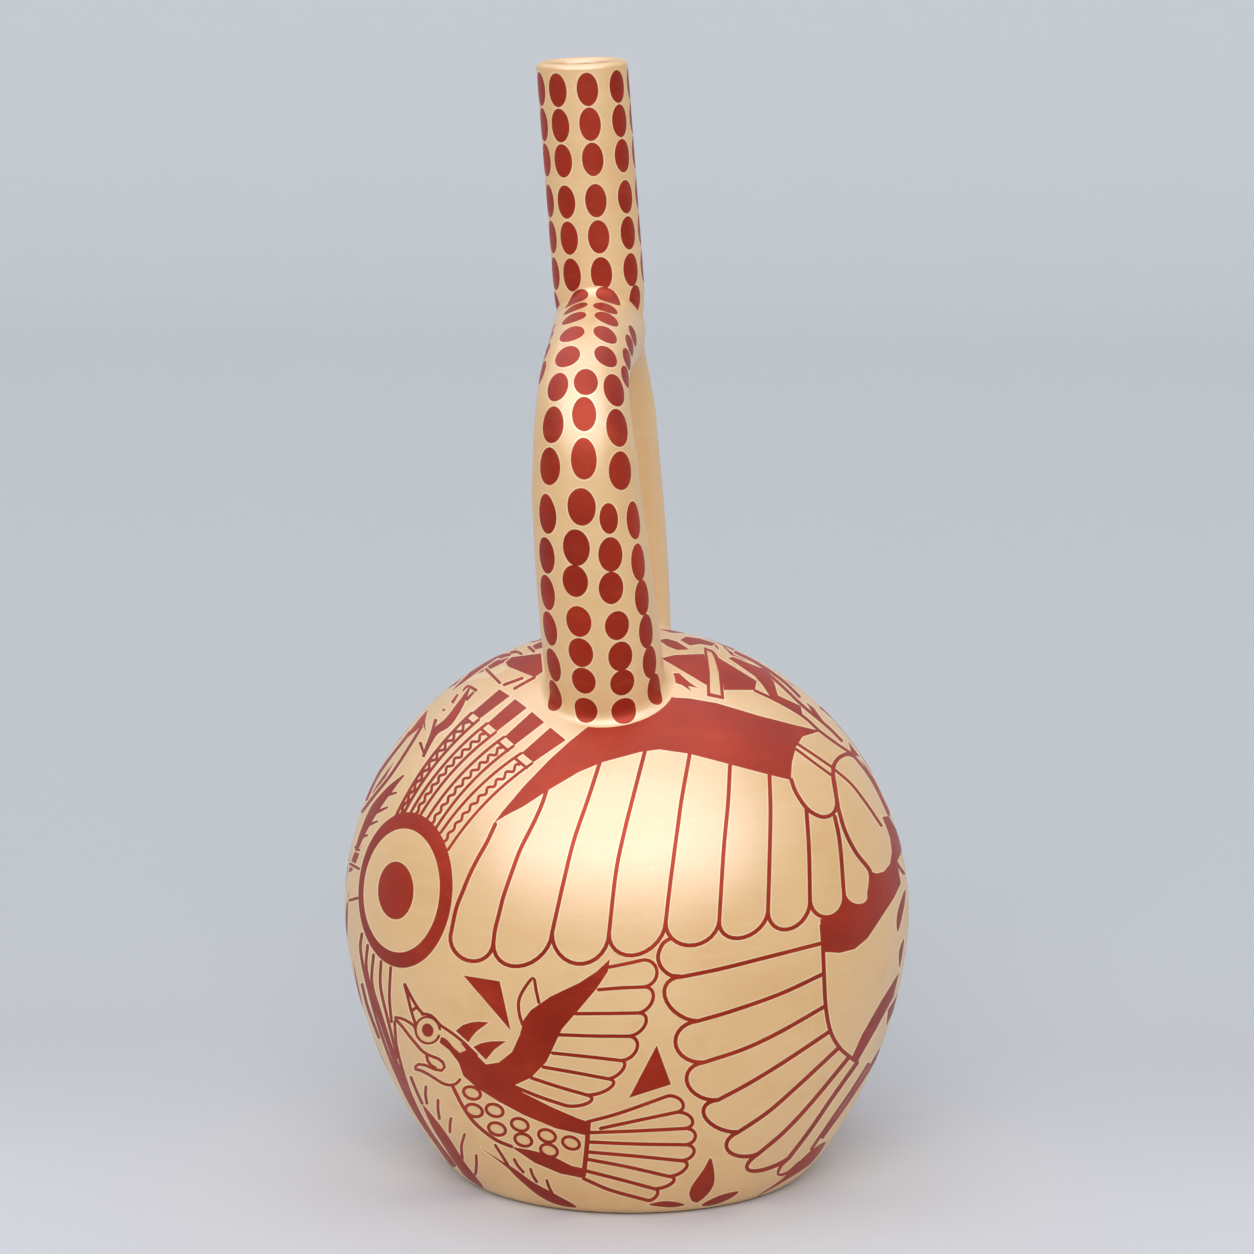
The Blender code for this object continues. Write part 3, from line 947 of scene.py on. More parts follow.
STRAP_FIELD = [
    (707, 650.5), (711.5, 652.5), (714, 657), (718.5, 672), (720.8, 695.5), (710.2, 693), (709.8, 672),
]

TAIL_BASE = [
    (821.5, 925), (822.8, 943), (824, 973.6), (825.7, 1006), (830.4, 1031), (839, 1047), (849.6, 1056.8),
    (857, 1062),
]
TAIL_FEATHERS = [
    [(822.8, 943), (760, 959), (720, 969), (682, 976.8)],
    [(824, 973.6), (780, 994), (732, 1011), (698, 1021)],
    [(825.5, 1006), (780, 1032), (744, 1049), (704, 1062.4)],
    [(830.4, 1031), (784, 1062), (748, 1084), (718, 1100)],
    [(838.5, 1048), (800, 1084), (768, 1112), (738.6, 1132)],
    [(848.8, 1057.5), (812, 1102), (784, 1132), (758, 1154)],
    [(857.5, 1062), (832, 1098), (810, 1130), (788.4, 1158.5)],
]
TAIL_TIPS = [(665.5, 999), (675.5, 1044), (687.5, 1084), (705.5, 1118), (728.5, 1151), (751.5, 1171)]
TAIL_TOP = [(671.5, 938), (663, 943.5), (658, 956), (661, 967), (670, 975), (681, 976.4)]
TAIL_END = [(788.4, 1159), (781, 1166), (777.8, 1174.4), (787, 1173), (800, 1162)]
RIGHT_LINES = [
    [(868.7, 1063.5), (852, 1090), (830, 1122), (811, 1149.6)],
    [(880, 1050), (866, 1074), (845, 1106), (822, 1138)],
    [(762, 668.7), (782, 686), (803, 706), (828, 727), (842, 741)],
    [(896, 862), (900, 868), (904, 874)],
    [(735, 652), (757, 663), (782, 680), (800, 697)],
]

BIRD_BODY = [
    (610, 959), (607.8, 971.7), (596.4, 988.9), (577, 1011.8), (562, 1029), (555, 1044), (546.6, 1061.6),
    (531, 1077.8), (513, 1086), (523.7, 1093), (550.5, 1106.5), (577, 1118), (588.7, 1122), (588.7, 1136),
    (556, 1128.5), (523.7, 1115), (498.8, 1101.7), (477.7, 1088.4), (463.4, 1076), (458.6, 1062.5),
    (449, 1050), (439.5, 1042.4), (441, 1037), (452, 1040), (464, 1044), (469, 1048), (478, 1056.5),
    (486, 1064.4), (498.8, 1062.5), (512, 1052), (519.8, 1034.8), (523.7, 1019.5), (531, 1010),
    (550.5, 996.5), (579, 983), (596.4, 971.7),
]
BIRD_WING_FEATHERS = [
    [(607, 967.5), (625, 964), (643, 960)],
    [(598, 989.8), (620, 988), (644, 987)],
    [(575, 1013.7), (607, 1013.5), (638, 1013)],
    [(559, 1034.8), (594, 1036), (628.6, 1036.3)],
    [(552, 1053), (590, 1057), (621, 1060.6)],
    [(542.8, 1067), (577, 1073), (607.8, 1078.8)],
    [(531, 1077.8), (559, 1087), (586.8, 1095)],
    [(514, 1086.5), (540, 1097), (565.7, 1105.6)],
]
BIRD_WING_TIPS = [
    (657, 972), (653, 999), (645.5, 1024), (637, 1048.5), (622.5, 1070), (610, 1088), (588, 1103),
]
BIRD_TAIL_FEATHERS = [
    [(587, 1122), (620, 1113), (667.8, 1096)],
    [(600, 1128.5), (640, 1120), (676.4, 1112.3)],
    [(588.7, 1132.7), (636, 1131), (685, 1128.5)],
    [(588.7, 1142), (636, 1144), (685, 1144.8)],
    [(586.8, 1151.9), (634, 1156), (681, 1160.7)],
    [(585.8, 1159), (628, 1167), (668.8, 1176.4)],
    [(584.9, 1170.6), (620, 1179.5), (654.4, 1188.8)],
    [(583, 1178.3), (610, 1190), (648, 1200.5)],
]
BIRD_TAIL_TIPS = [
    (682.5, 1102.5), (692, 1119), (695.5, 1136), (694, 1152.4), (685.6, 1168.5), (672, 1183), (657, 1195),
]
BIRD_LOWER_BAND = [
    (511, 1146.7), (530, 1150), (550.5, 1155), (571.5, 1165.8), (584.9, 1168.7), (582, 1178),
    (560, 1173.5), (535, 1163),
]
BIRD_BREAST = [(452, 1085), (462.4, 1105.6), (473, 1121), (485.4, 1132.4), (498, 1141), (512, 1146.7)]
BIRD_TAIL_BAR = [(588.5, 1122), (586.5, 1150), (583.5, 1176)]
BIRD_RINGS = [
    (472, 1093), (494.6, 1110.4), (519.8, 1124.7), (547, 1135.8), (571, 1143), (474, 1110.5), (497, 1129),
    (523.3, 1140), (549, 1150.5),
]
BIRD_RING_SIZE = (10.5, 7.5)
BIRD_RING_HOLE = (7.1, 4.3)
BIRD_RING_TILT = 0.35
BIRD_EYE, EYE_TILT = (427.7, 1030.2), -0.3
EYE_SOCKET, EYE_FIELD, EYE_DOT = (13.4, 14.6), (10.8, 12.2), (5.7, 6.8)
BIRD_NECK_STRIPE = [
    (434, 1026.5), (439.3, 1030), (447.5, 1033.2), (455.7, 1039), (462.1, 1044.8), (466.2, 1050.1),
    (459.8, 1053), (453.3, 1047.2), (447.5, 1040.2), (440.5, 1035.3), (435, 1033),
]
BIRD_HEAD_LINES = [
    [(421.8, 1014.3), (426.3, 1014), (431.2, 1015.6), (435.3, 1019.2), (439.9, 1024.8), (446.3, 1029.1),
     (453.3, 1034.1), (460.3, 1039.6), (466.2, 1044.8), (470.8, 1049.5), (476.7, 1055.3)],
    [(395, 1017.4), (400.8, 1018.2), (407.8, 1021.5), (414.3, 1026.4), (417.5, 1034), (421, 1040)],
    [(395.5, 1019.5), (402, 1026.2), (409, 1035.5), (414.8, 1042.5), (420.7, 1049.5), (425.9, 1053.6),
     (432.3, 1056.5), (438.2, 1058.8), (442.8, 1062.3), (444.6, 1067), (441.7, 1070.5), (435.8, 1069.6),
     (430, 1067.2), (424.2, 1064.9), (418.3, 1064.3), (415.1, 1067)],
    [(415.1, 1069), (420.7, 1070.5), (427.7, 1074), (434.7, 1078.3), (441.7, 1082.8), (448.7, 1085.1),
     (455.7, 1083.9), (460.3, 1079.3)],
    [(426.5, 1055.3), (428, 1061.2), (430.9, 1065.3), (435.8, 1068.2)],
    [(404.5, 984), (407.8, 997), (411.3, 1011), (415.4, 1023.8)],
    [(404.5, 984), (412.5, 999.3), (418.3, 1008.7), (423, 1013.9)],
    [(411.3, 1012.2), (412.5, 1010.4), (415.4, 1008.1), (417.8, 1007.5)],
]
OPEN_LEAF = [(522.7, 1025), (518.9, 1011.8), (520, 996.5), (532.7, 978), (536, 990), (539, 1003)]


def scallop(start, end, tip, sides=14):
    """A rounded feather end from one point to another through its tip."""
    start, end, tip = (np.asarray(p, float) for p in (start, end, tip))
    middle = (start + end) / 2
    turn = np.linspace(0, math.pi, sides)[:, None]
    return middle + (start - middle) * np.cos(turn) + (tip - middle) * np.sin(turn)


def feathers(lines, tips, width):
    """Painted lines between feathers and the rounded end of each feather."""
    strokes = [stroke(line, width) for line in lines]
    for k, tip in enumerate(tips):
        strokes.append(ribbon(scallop(lines[k][-1], lines[k + 1][-1], tip), width))
    return strokes


def bent(start, end, bow, parts=14):
    """A line between two points that bows to one side."""
    start, end = np.asarray(start, float), np.asarray(end, float)
    along = end - start
    across = np.array([-along[1], along[0]])
    share = np.linspace(0, 1, parts)[:, None]
    return start + along * share + across * bow * 4 * share * (1 - share)


TASSEL_BOW = 0.05
TASSEL_BAR_DROP = 8.5
TASSEL_BAR_LINE = 3.2
TASSEL_WAVES = 9
TASSEL_WAVE_REACH = 2.1
TASSEL_WAVE_END = 0.45
TASSEL_WAVE_POINTS = 90


def tassels():
    """Four hanging strips with a solid head, a cross bar, two side lines and a wavy line between."""
    shapes = []
    for block, ends in zip(TASSEL_BLOCKS, TASSEL_ENDS):
        top_left, _, right, left = (np.array(corner) for corner in block)
        low_left, low_right = (np.array(corner) for corner in ends)
        down = unit(left - top_left)
        drop = down * TASSEL_BAR_DROP
        shapes.append(straight(block))
        shapes.append(ribbon(bent(left, low_left, TASSEL_BOW, 24), FINE_LINE))
        shapes.append(ribbon(bent(right + down, low_right, TASSEL_BOW, 24), FINE_LINE))
        shapes.append(ribbon(bent(left + drop, right + drop, 0, 4), TASSEL_BAR_LINE))
        middle = (left + drop + (right + drop)) / 2 + down * 2
        curve = bent(middle, (low_left + low_right) / 2, TASSEL_BOW, TASSEL_WAVE_POINTS)
        phase = np.linspace(0, TASSEL_WAVES * 2 * math.pi, TASSEL_WAVE_POINTS)[:, None]
        swing = np.sin(phase) * np.linspace(1, TASSEL_WAVE_END, TASSEL_WAVE_POINTS)[:, None]
        _, across = directions(curve)
        shapes.append(ribbon(curve + across * swing * TASSEL_WAVE_REACH, FINE_LINE))
    return shapes


def taper(line, widths):
    """A stroke whose width changes from its start to its end."""
    line = smooth(line, closed=False)
    share = np.linspace(0, 1, len(line))
    width = np.interp(share, np.linspace(0, 1, len(widths)), widths)[:, None]
    across = directions(line)[1] * width / 2
    return np.concatenate([line + across, (line - across)[::-1]])


def front_red():
    """Every red shape that the photograph shows on the belly, apart from dots inside other shapes."""
    red = [straight(WING_BAND), straight(RIGHT_SOLID)]
    red += feathers(WING_FEATHERS, WING_TIPS, LINE)
    red += [stroke(line, LINE) for line in LOBES]
    red += [stroke(line, LOBE_LINE) for line in LOBE_LINES]
    red += tassels()
    red += [straight(shape) for shape in BLADES]
    red += [smooth(shape) for shape in LEAVES]
    red += [taper(line, SPRIG_WIDTHS) for line in SPRIGS]
    red += [taper(line, BARB_WIDTHS) for line in SPRIG_BARBS]
    red += [stroke(line, FINE_LINE) for line in LEFT_LINES + RIGHT_LINES]
    red += feathers(TAIL_FEATHERS, TAIL_TIPS, LINE)
    red += [stroke(TAIL_BASE, LINE), stroke(TAIL_TOP, LINE), stroke(TAIL_END, FINE_LINE)]
    red += [straight(BIRD_BODY), straight(BIRD_LOWER_BAND)]
    red += feathers(BIRD_WING_FEATHERS, BIRD_WING_TIPS, BIRD_LINE)
    red += feathers(BIRD_TAIL_FEATHERS, BIRD_TAIL_TIPS, BIRD_LINE)
    red += [stroke(BIRD_BREAST, BIRD_LINE), stroke(BIRD_TAIL_BAR, BIRD_TAIL_LINE)]
    red += [stroke(line, BIRD_HEAD_LINE) for line in BIRD_HEAD_LINES]
    red += [stroke(OPEN_LEAF, LEAF_LINE)]
    red += [ellipse(centre, *BIRD_RING_SIZE, 28, BIRD_RING_TILT) for centre in BIRD_RINGS]
    red += [ellipse(BIRD_EYE, *EYE_SOCKET, 34, EYE_TILT)]
    red += [ellipse(DISC_RIM, *DISC_RIM_SIZE, 110, DISC_TILT), straight(STRAP)]
    return red


def with_halo(shapes, width):
    """Red shapes over the pale rims round all of them."""
    return [(HALO, grown(shape, width)) for shape in shapes] + [(RED, shape) for shape in shapes]


def front_paint():
    """The painting that the photograph shows on the belly: (slot, outline) pairs, later ones on top."""
    paint = with_halo(front_red(), HALO_WIDTH)
    for centre in BIRD_RINGS:
        paint.append((CREAM, ellipse(centre, *BIRD_RING_HOLE, 22, BIRD_RING_TILT)))
    field = ellipse(DISC_FIELD, *DISC_FIELD_SIZE, 90, DISC_TILT)
    dot = ellipse(DISC_DOT, *DISC_DOT_SIZE, 48)
    paint += [
        (CREAM, ellipse(BIRD_EYE, *EYE_FIELD, 30, EYE_TILT)),
        (CREAM, straight(BIRD_NECK_STRIPE)),
        (RED, ellipse(BIRD_EYE, *EYE_DOT, 24, EYE_TILT)),
        (HALO, field),
        (CREAM, grown(field, -HALO_WIDTH)),
        (HALO, grown(dot, HALO_WIDTH)),
        (RED, dot),
        (CREAM, straight(STRAP_FIELD)),
    ]
    return paint


# Dots: turn in degrees, distance from the crown's middle or height, width and height, in millimetres

CROWN_DOTS = [
    [(-25, 11.4, 7.1, 4.8), (-24, 16.9, 7.1, 4.8), (-22, 22.9, 7.1, 4.8), (-19, 29.4, 7.1, 4.8),
     (-20, 35.4, 7.1, 4.8)],
    [(18, 11.4, 6.9, 4.9), (18, 17.4, 6.9, 4.9), (24, 22.4, 6.9, 4.9), (27, 28.4, 6.9, 4.9),
     (32, 34.4, 6.9, 4.9)],
    [(-72, 18, 6, 5), (-71, 23.6, 6, 5.4), (-70, 29.6, 6, 5.6), (-70, 35.6, 6, 5.6)],
    [(72, 18, 6, 5), (72, 23.6, 6, 5.4), (72, 29.6, 6, 5.6), (72, 35.6, 6, 5.6)],
]
LEG_DOTS = [
    [(-30, 41.4, 6.5, 5.4), (-35, 48.4, 7.0, 7.0), (-39, 56.9, 7.2, 8.5)],
    [(7, 40.9, 6.3, 5.1), (5, 46.9, 6.3, 6.3), (3, 55.4, 6.7, 8.4)],
    [(47, 41.4, 7.6, 7.1), (48, 49.4, 7.8, 7.9), (47, 58.4, 8.0, 8.4)],
    [(-43, 67.9, 6.6, 9.1), (-48, 77.9, 6.6, 9.1), (-51, 87.4, 6.6, 9.1), (-52, 96.9, 6.6, 9.1),
     (-52, 106.9, 6.6, 9.1), (-55, 115.9, 6.4, 8.5)],
    [(-1, 65.9, 7.4, 8.9), (-10, 75.4, 7.2, 8.7), (-14, 83.4, 7.0, 7.8), (-14, 93.4, 6.9, 7.8),
     (-15, 101.4, 6.8, 7.6), (-15, 108.9, 6.6, 7.1), (-16, 116.9, 6.4, 6.6)],
    [(27, 69.4, 5.2, 7.3), (25, 77.9, 6.7, 8.3), (22, 85.9, 6.7, 7.9), (24, 95.4, 6.7, 7.3),
     (24, 103.4, 6.7, 7.7), (23, 110.4, 6.7, 6.9), (21, 117.9, 6.7, 6.6)],
    [(60, 71.4, 6, 9.5), (59, 81.9, 6, 9.5), (58, 90.9, 6, 9.2), (58, 99.9, 6, 9.0), (58, 108.4, 6, 8.8),
     (60, 116.4, 6, 8.5)],
]
SPOUT_TURNS = (-148, -107, -66, -31, 9, 52, 89, 127, 165)
SPOUT_HEIGHTS = (65.6, 56.5, 47.3, 36.5, 27.0, 17.3)
SPOUT_DOT = (5.7, 8.8)
LOW_SPOUT_DOTS = [(57, 9.4, 5.0, 7.4), (-72, 8.6, 5.0, 7.4), (123, 9.4, 5.0, 7.4), (-108, 8.6, 5.0, 7.4)]
DOT_SIDES = 28
DOT_HALO = 0.00034


def arch_paint():
    """Columns of touching oval dots down both legs and beside the spout, mirrored from front to back."""
    dots = []
    for column in CROWN_DOTS + LEG_DOTS:
        for degrees, distance, width, height in column:
            for face in (-1, 1):
                run = ARCH_MIDDLE + face * distance * 1e-3
                stretch = ARCH_MEAN_RADIUS / arch_radius(run)
                centre = (-face * math.radians(degrees) * ARCH_MEAN_RADIUS, run)
                size = (width / 2 * 1e-3 * stretch, height / 2 * 1e-3)
                dots.append(ellipse(centre, *size, DOT_SIDES))
    return with_halo(dots, DOT_HALO)


def spout_paint():
    """Rows of oval dots around the spout."""
    rows = [(degrees, height, *SPOUT_DOT) for height in SPOUT_HEIGHTS for degrees in SPOUT_TURNS]
    dots = []
    for degrees, height, width, length in rows + LOW_SPOUT_DOTS:
        centre = (math.radians(degrees) * SPOUT_RADIUS, height * 1e-3)
        dots.append(ellipse(centre, width / 2 * 1e-3, length / 2 * 1e-3, DOT_SIDES))
    return with_halo(dots, DOT_HALO)


# Materials

class Clay:
    """A node material for one slip, built up step by step."""

    def __init__(self, name, roughness, coat=0.0, tint=(1, 1, 1)):
        self.material = bpy.data.materials.new(name)
        self.material.use_nodes = True
        self.nodes = self.material.node_tree.nodes
        self.links = self.material.node_tree.links
        self.shader = self.nodes["Principled BSDF"]
        self.shader.inputs["Roughness"].default_value = roughness
        self.shader.inputs["IOR"].default_value = 1.45
        self.shader.inputs["Specular Tint"].default_value = (*tint, 1)
        self.shader.inputs["Coat Weight"].default_value = coat
        self.shader.inputs["Coat Roughness"].default_value = 0.2
        self.place = self.nodes.new("ShaderNodeTexCoord").outputs["Object"]

    def noise(self, scale, detail=4, stretch=(1, 1, 1), turn=(0, 0, 0), roughness=0.5):
        """Noise over the piece; stretch and turn draw it out into strokes."""
        mapping = self.nodes.new("ShaderNodeMapping")
        mapping.inputs["Scale"].default_value = stretch
        mapping.inputs["Rotation"].default_value = turn
        self.links.new(self.place, mapping.inputs["Vector"])
        noise = self.nodes.new("ShaderNodeTexNoise")
        noise.inputs["Scale"].default_value = scale
        noise.inputs["Detail"].default_value = detail
        noise.inputs["Roughness"].default_value = roughness
        self.links.new(mapping.outputs["Vector"], noise.inputs["Vector"])
        return noise.outputs["Fac"]

    def remap(self, value, low, high, start, end):
        """Value from between low and high, drawn to between start and end."""
        share = self.nodes.new("ShaderNodeMapRange")
        share.interpolation_type = "SMOOTHSTEP"
        share.inputs["From Min"].default_value = low
        share.inputs["From Max"].default_value = high
        share.inputs["To Min"].default_value = start
        share.inputs["To Max"].default_value = end
        self.links.new(value, share.inputs["Value"])
        return share.outputs["Result"]

    def tones(self, value, low, high, dark, light):
        """A colour between two tones."""
        ramp = self.nodes.new("ShaderNodeValToRGB")
        ramp.color_ramp.elements[0].position = low
        ramp.color_ramp.elements[0].color = (*dark, 1)
        ramp.color_ramp.elements[1].position = high
        ramp.color_ramp.elements[1].color = (*light, 1)
        self.links.new(value, ramp.inputs["Fac"])
        return ramp.outputs["Color"]

    def over(self, base, colour, share):
        """Another colour laid over the base by a share."""
        mix = self.nodes.new("ShaderNodeMix")
        mix.data_type = "RGBA"
        self.links.new(share, mix.inputs["Factor"])
        self.links.new(base, mix.inputs["A"])
        mix.inputs["B"].default_value = (*colour, 1)
        return mix.outputs["Result"]

    def finish(self, colour, roughness, height, strength, distance):
        """Connects colour, roughness and a fine relief."""
        self.links.new(colour, self.shader.inputs["Base Color"])
        self.links.new(roughness, self.shader.inputs["Roughness"])
        bump = self.nodes.new("ShaderNodeBump")
        bump.inputs["Strength"].default_value = strength
        bump.inputs["Distance"].default_value = distance
        self.links.new(height, bump.inputs["Height"])
        self.links.new(bump.outputs["Normal"], self.shader.inputs["Normal"])
        self.links.new(bump.outputs["Normal"], self.shader.inputs["Coat Normal"])
        return self.material


CREAM_LIGHT = (0.85, 0.545, 0.255)
CREAM_DARK = (0.79, 0.48, 0.20)
CREAM_WARM = (0.77, 0.42, 0.155)
CREAM_PALE = (0.90, 0.66, 0.38)
RED_LIGHT = (0.38, 0.025, 0.008)
RED_DARK = (0.26, 0.014, 0.005)
RED_BRIGHT = (0.45, 0.050, 0.014)
RED_GLOSS = (1.0, 0.34, 0.20)
EDGE_LIGHT = (0.92, 0.66, 0.36)
EDGE_DARK = (0.86, 0.58, 0.29)
CLAY_LIGHT = (0.40, 0.22, 0.11)
CLAY_DARK = (0.33, 0.17, 0.08)


def cream_slip():
    """Polished cream slip: soft warm clouds, faint burnishing strokes, a few pale and warm specks."""
    clay = Clay("cream_slip", 0.4, coat=0.35)
    colour = clay.tones(clay.noise(24, 5), 0.32, 0.68, CREAM_DARK, CREAM_LIGHT)
    clouds = clay.noise(70, 6, roughness=0.6)
    colour = clay.over(colour, CREAM_WARM, clay.remap(clouds, 0.52, 0.75, 0.0, 0.5))
    strokes = clay.noise(60, 4, stretch=(1, 1, 9), turn=(0.3, 0.2, 0))
    colour = clay.over(colour, CREAM_PALE, clay.remap(strokes, 0.50, 0.74, 0.0, 0.12))
    colour = clay.over(colour, CREAM_WARM, clay.remap(clay.noise(900, 2), 0.70, 0.78, 0.0, 0.45))
    colour = clay.over(colour, CREAM_PALE, clay.remap(clay.noise(640, 2), 0.71, 0.78, 0.0, 0.25))
    roughness = clay.remap(strokes, 0.3, 0.7, 0.36, 0.44)
    return clay.finish(colour, roughness, clay.noise(520, 5), 0.12, 0.0004)


def red_slip():
    """Dark red slip brushed on unevenly: cloudy patches, brush strokes, bright scuffs and specks."""
    clay = Clay("red_slip", 0.42, tint=RED_GLOSS)
    colour = clay.tones(clay.noise(38, 5), 0.34, 0.66, RED_DARK, RED_LIGHT)
    strokes = clay.noise(75, 5, stretch=(1, 1, 3.2), turn=(0.3, 0.7, 0), roughness=0.6)
    colour = clay.over(colour, RED_BRIGHT, clay.remap(strokes, 0.50, 0.76, 0.0, 0.38))
    clouds = clay.noise(110, 6, roughness=0.65)
    colour = clay.over(colour, RED_DARK, clay.remap(clouds, 0.52, 0.74, 0.0, 0.5))
    scuffs = clay.noise(120, 2, stretch=(1, 1, 9), turn=(0.4, 0.3, 0))
    colour = clay.over(colour, RED_BRIGHT, clay.remap(scuffs, 0.70, 0.76, 0.0, 0.3))
    colour = clay.over(colour, RED_BRIGHT, clay.remap(clay.noise(760, 2), 0.69, 0.77, 0.0, 0.6))
    roughness = clay.remap(strokes, 0.3, 0.7, 0.38, 0.47)
    return clay.finish(colour, roughness, clay.noise(430, 5), 0.2, 0.0004)


def slip_edge():
    """The pale rim that is left round each painted shape."""
    clay = Clay("slip_edge", 0.36, coat=0.35)
    colour = clay.tones(clay.noise(240, 4), 0.35, 0.65, EDGE_DARK, EDGE_LIGHT)
    roughness = clay.remap(clay.noise(60), 0.3, 0.7, 0.34, 0.40)
    return clay.finish(colour, roughness, clay.noise(520, 5), 0.1, 0.0003)


def bare_clay():
    """Unpainted brown clay of the inner space."""
    clay = Clay("bare_clay", 0.8)
    colour = clay.tones(clay.noise(150, 6), 0.35, 0.65, CLAY_DARK, CLAY_LIGHT)
    roughness = clay.remap(clay.noise(90), 0.3, 0.7, 0.74, 0.86)
    return clay.finish(colour, roughness, clay.noise(700, 5), 0.4, 0.0005)


# Painted light on the floor: the lighter colour in front of the bottle and the darker one behind it stand
# in for the light falling off. The change from one to the other runs over this span of Y.
FLOOR_PAINTED_LIGHT = (0.72, 0.735, 0.775)
FLOOR_PAINTED_SHADE = (0.60, 0.62, 0.65)
FLOOR_PAINTED_FALLOFF = (-0.04, 0.14)


def floor_material():
    """Matt pale grey with painted light: lighter in front of the bottle and darker behind it, as the
    light falls off.
    """
    material = bpy.data.materials.new("floor")
    material.use_nodes = True
    nodes, links = material.node_tree.nodes, material.node_tree.links
    shader = nodes["Principled BSDF"]
    shader.inputs["Roughness"].default_value = 0.9
    shader.inputs["Specular IOR Level"].default_value = 0.0
    place = nodes.new("ShaderNodeTexCoord")
    parts = nodes.new("ShaderNodeSeparateXYZ")
    links.new(place.outputs["Object"], parts.inputs["Vector"])
    # Painted light falloff: the floor's colour is lighter at the front and darker further back.
    share = nodes.new("ShaderNodeMapRange")
    share.interpolation_type = "SMOOTHSTEP"
    share.inputs["From Min"].default_value, share.inputs["From Max"].default_value = FLOOR_PAINTED_FALLOFF
    links.new(parts.outputs["Y"], share.inputs["Value"])
    ramp = nodes.new("ShaderNodeValToRGB")
    ramp.color_ramp.elements[0].color = (*FLOOR_PAINTED_LIGHT, 1)
    ramp.color_ramp.elements[1].color = (*FLOOR_PAINTED_SHADE, 1)
    links.new(share.outputs["Result"], ramp.inputs["Fac"])
    links.new(ramp.outputs["Color"], shader.inputs["Base Color"])
    return material


def add_floor():
    """A pale floor that rises behind the bottle in one curve."""
    width, front, back, height, bend = 14.0, -7.0, 1.6, 4.0, 0.8
    angles = np.linspace(0, math.pi / 2, 25)
    line = [(front, 0.0)] + [(back + bend * math.sin(a), bend * (1 - math.cos(a))) for a in angles]
    line += [(back + bend, height)]
    points, faces = [], []
    for y, z in line:
        points += [(-width / 2, y, z), (width / 2, y, z)]
    for k in range(len(line) - 1):
        faces.append((2 * k, 2 * k + 1, 2 * k + 3, 2 * k + 2))
    mesh = bpy.data.meshes.new("floor")
    mesh.from_pydata(points, [], faces)
    for polygon in mesh.polygons:
        polygon.use_smooth = True
    mesh.materials.append(floor_material())
    floor = bpy.data.objects.new("floor", mesh)
    bpy.context.collection.objects.link(floor)


# Soft lights: azimuth, elevation and spread in degrees, strength
SOFT_LIGHTS = {
    "front": (0, 36, 44, 1.15),
    "above": (180, 78, 60, 0.56),
    "left": (-80, 27, 40, 0.33),
    "right": (80, 27, 40, 0.31),
}
# Sheen panels: azimuth and elevation in degrees, width and height in metres, radiance
SHEEN_PANELS = {
    "front_sheen": (1, 47.5, (4.0, 1.4), 5.4),
    "broad_sheen": (0, 55, (5.5, 3.0), 4.4),
    "low_sheen": (0, 26, (4.5, 1.2), 2.6),
    "high_sheen": (180, 75, (2.8, 1.6), 3.2),
    "left_sheen": (-105, 42, (2.2, 1.5), 2.0),
    "right_sheen": (105, 42, (2.2, 1.5), 0.9),
}
SHEEN_CENTRE = (0, 0, 0.13)
SHEEN_DISTANCE = 1.9
SHEEN_COLOUR = (0.76, 0.82, 1.0)
ROOM_COLOUR = (0.86, 0.89, 0.94, 1)
ROOM_STRENGTH = 0.5


def light_direction(azimuth, elevation):
    """From the bottle towards a light; azimuth 0 is in front and positive is to the viewer's right."""
    azimuth, elevation = math.radians(azimuth), math.radians(elevation)
    level = math.cos(elevation)
    return Vector((math.sin(azimuth) * level, -math.cos(azimuth) * level, math.sin(elevation)))


def add_soft_light(name, azimuth, elevation, spread, strength):
    """Even, soft light over the whole floor, which makes no sheen."""
    data = bpy.data.lights.new(name, "SUN")
    data.energy = strength
    data.angle = math.radians(spread)
    light = bpy.data.objects.new(name, data)
    light.rotation_euler = light_direction(azimuth, elevation).to_track_quat("Z", "Y").to_euler()
    light.visible_glossy = False
    bpy.context.collection.objects.link(light)


def add_sheen_panel(name, azimuth, elevation, size, radiance):
    """A wide oval panel that shows only in the gloss of the clay."""
    away = light_direction(azimuth, elevation)
    data = bpy.data.lights.new(name, "AREA")
    data.shape = "ELLIPSE"
    data.size, data.size_y = size
    data.energy = radiance * math.pi * size[0] * size[1] * math.pi / 4
    data.color = SHEEN_COLOUR
    light = bpy.data.objects.new(name, data)
    light.location = Vector(SHEEN_CENTRE) + away * SHEEN_DISTANCE
    light.rotation_euler = away.to_track_quat("Z", "Y").to_euler()
    light.visible_diffuse = False
    bpy.context.collection.objects.link(light)


def add_lights():
    """Soft lights from the front, above and both sides, panels for the sheen, and a dim room."""
    for name, values in SOFT_LIGHTS.items():
        add_soft_light(name, *values)
    for name, values in SHEEN_PANELS.items():
        add_sheen_panel(name, *values)
    world = bpy.data.worlds.new("studio")
    bpy.context.scene.world = world
    world.use_nodes = True
    background = world.node_tree.nodes["Background"]
    background.inputs["Color"].default_value = ROOM_COLOUR
    background.inputs["Strength"].default_value = ROOM_STRENGTH
    world.cycles_visibility.glossy = False
    bpy.context.scene.view_settings.view_transform = "Standard"


# Leaves between the two paintings: turn in degrees; height, length, width in mm; tilt in degrees

SIDE_HALO = 0.005
LEAF_BOW = 0.12
LEAF_POWER = 0.8
LEAF_POINTS = 20
SIDE_LEAVES = [
    (12, 108, 17, 4.5, 22), (15, 91, 18, 5.0, 34), (6, 84, 13, 3.6, -24), (11, 72, 19, 5.0, 30),
    (4, 62, 14, 4.0, -18), (13, 53, 19, 5.0, 26), (6, 41, 14, 4.0, -26), (13, 32, 17, 4.5, 24),
    (5, 22, 11, 3.4, -20),
]


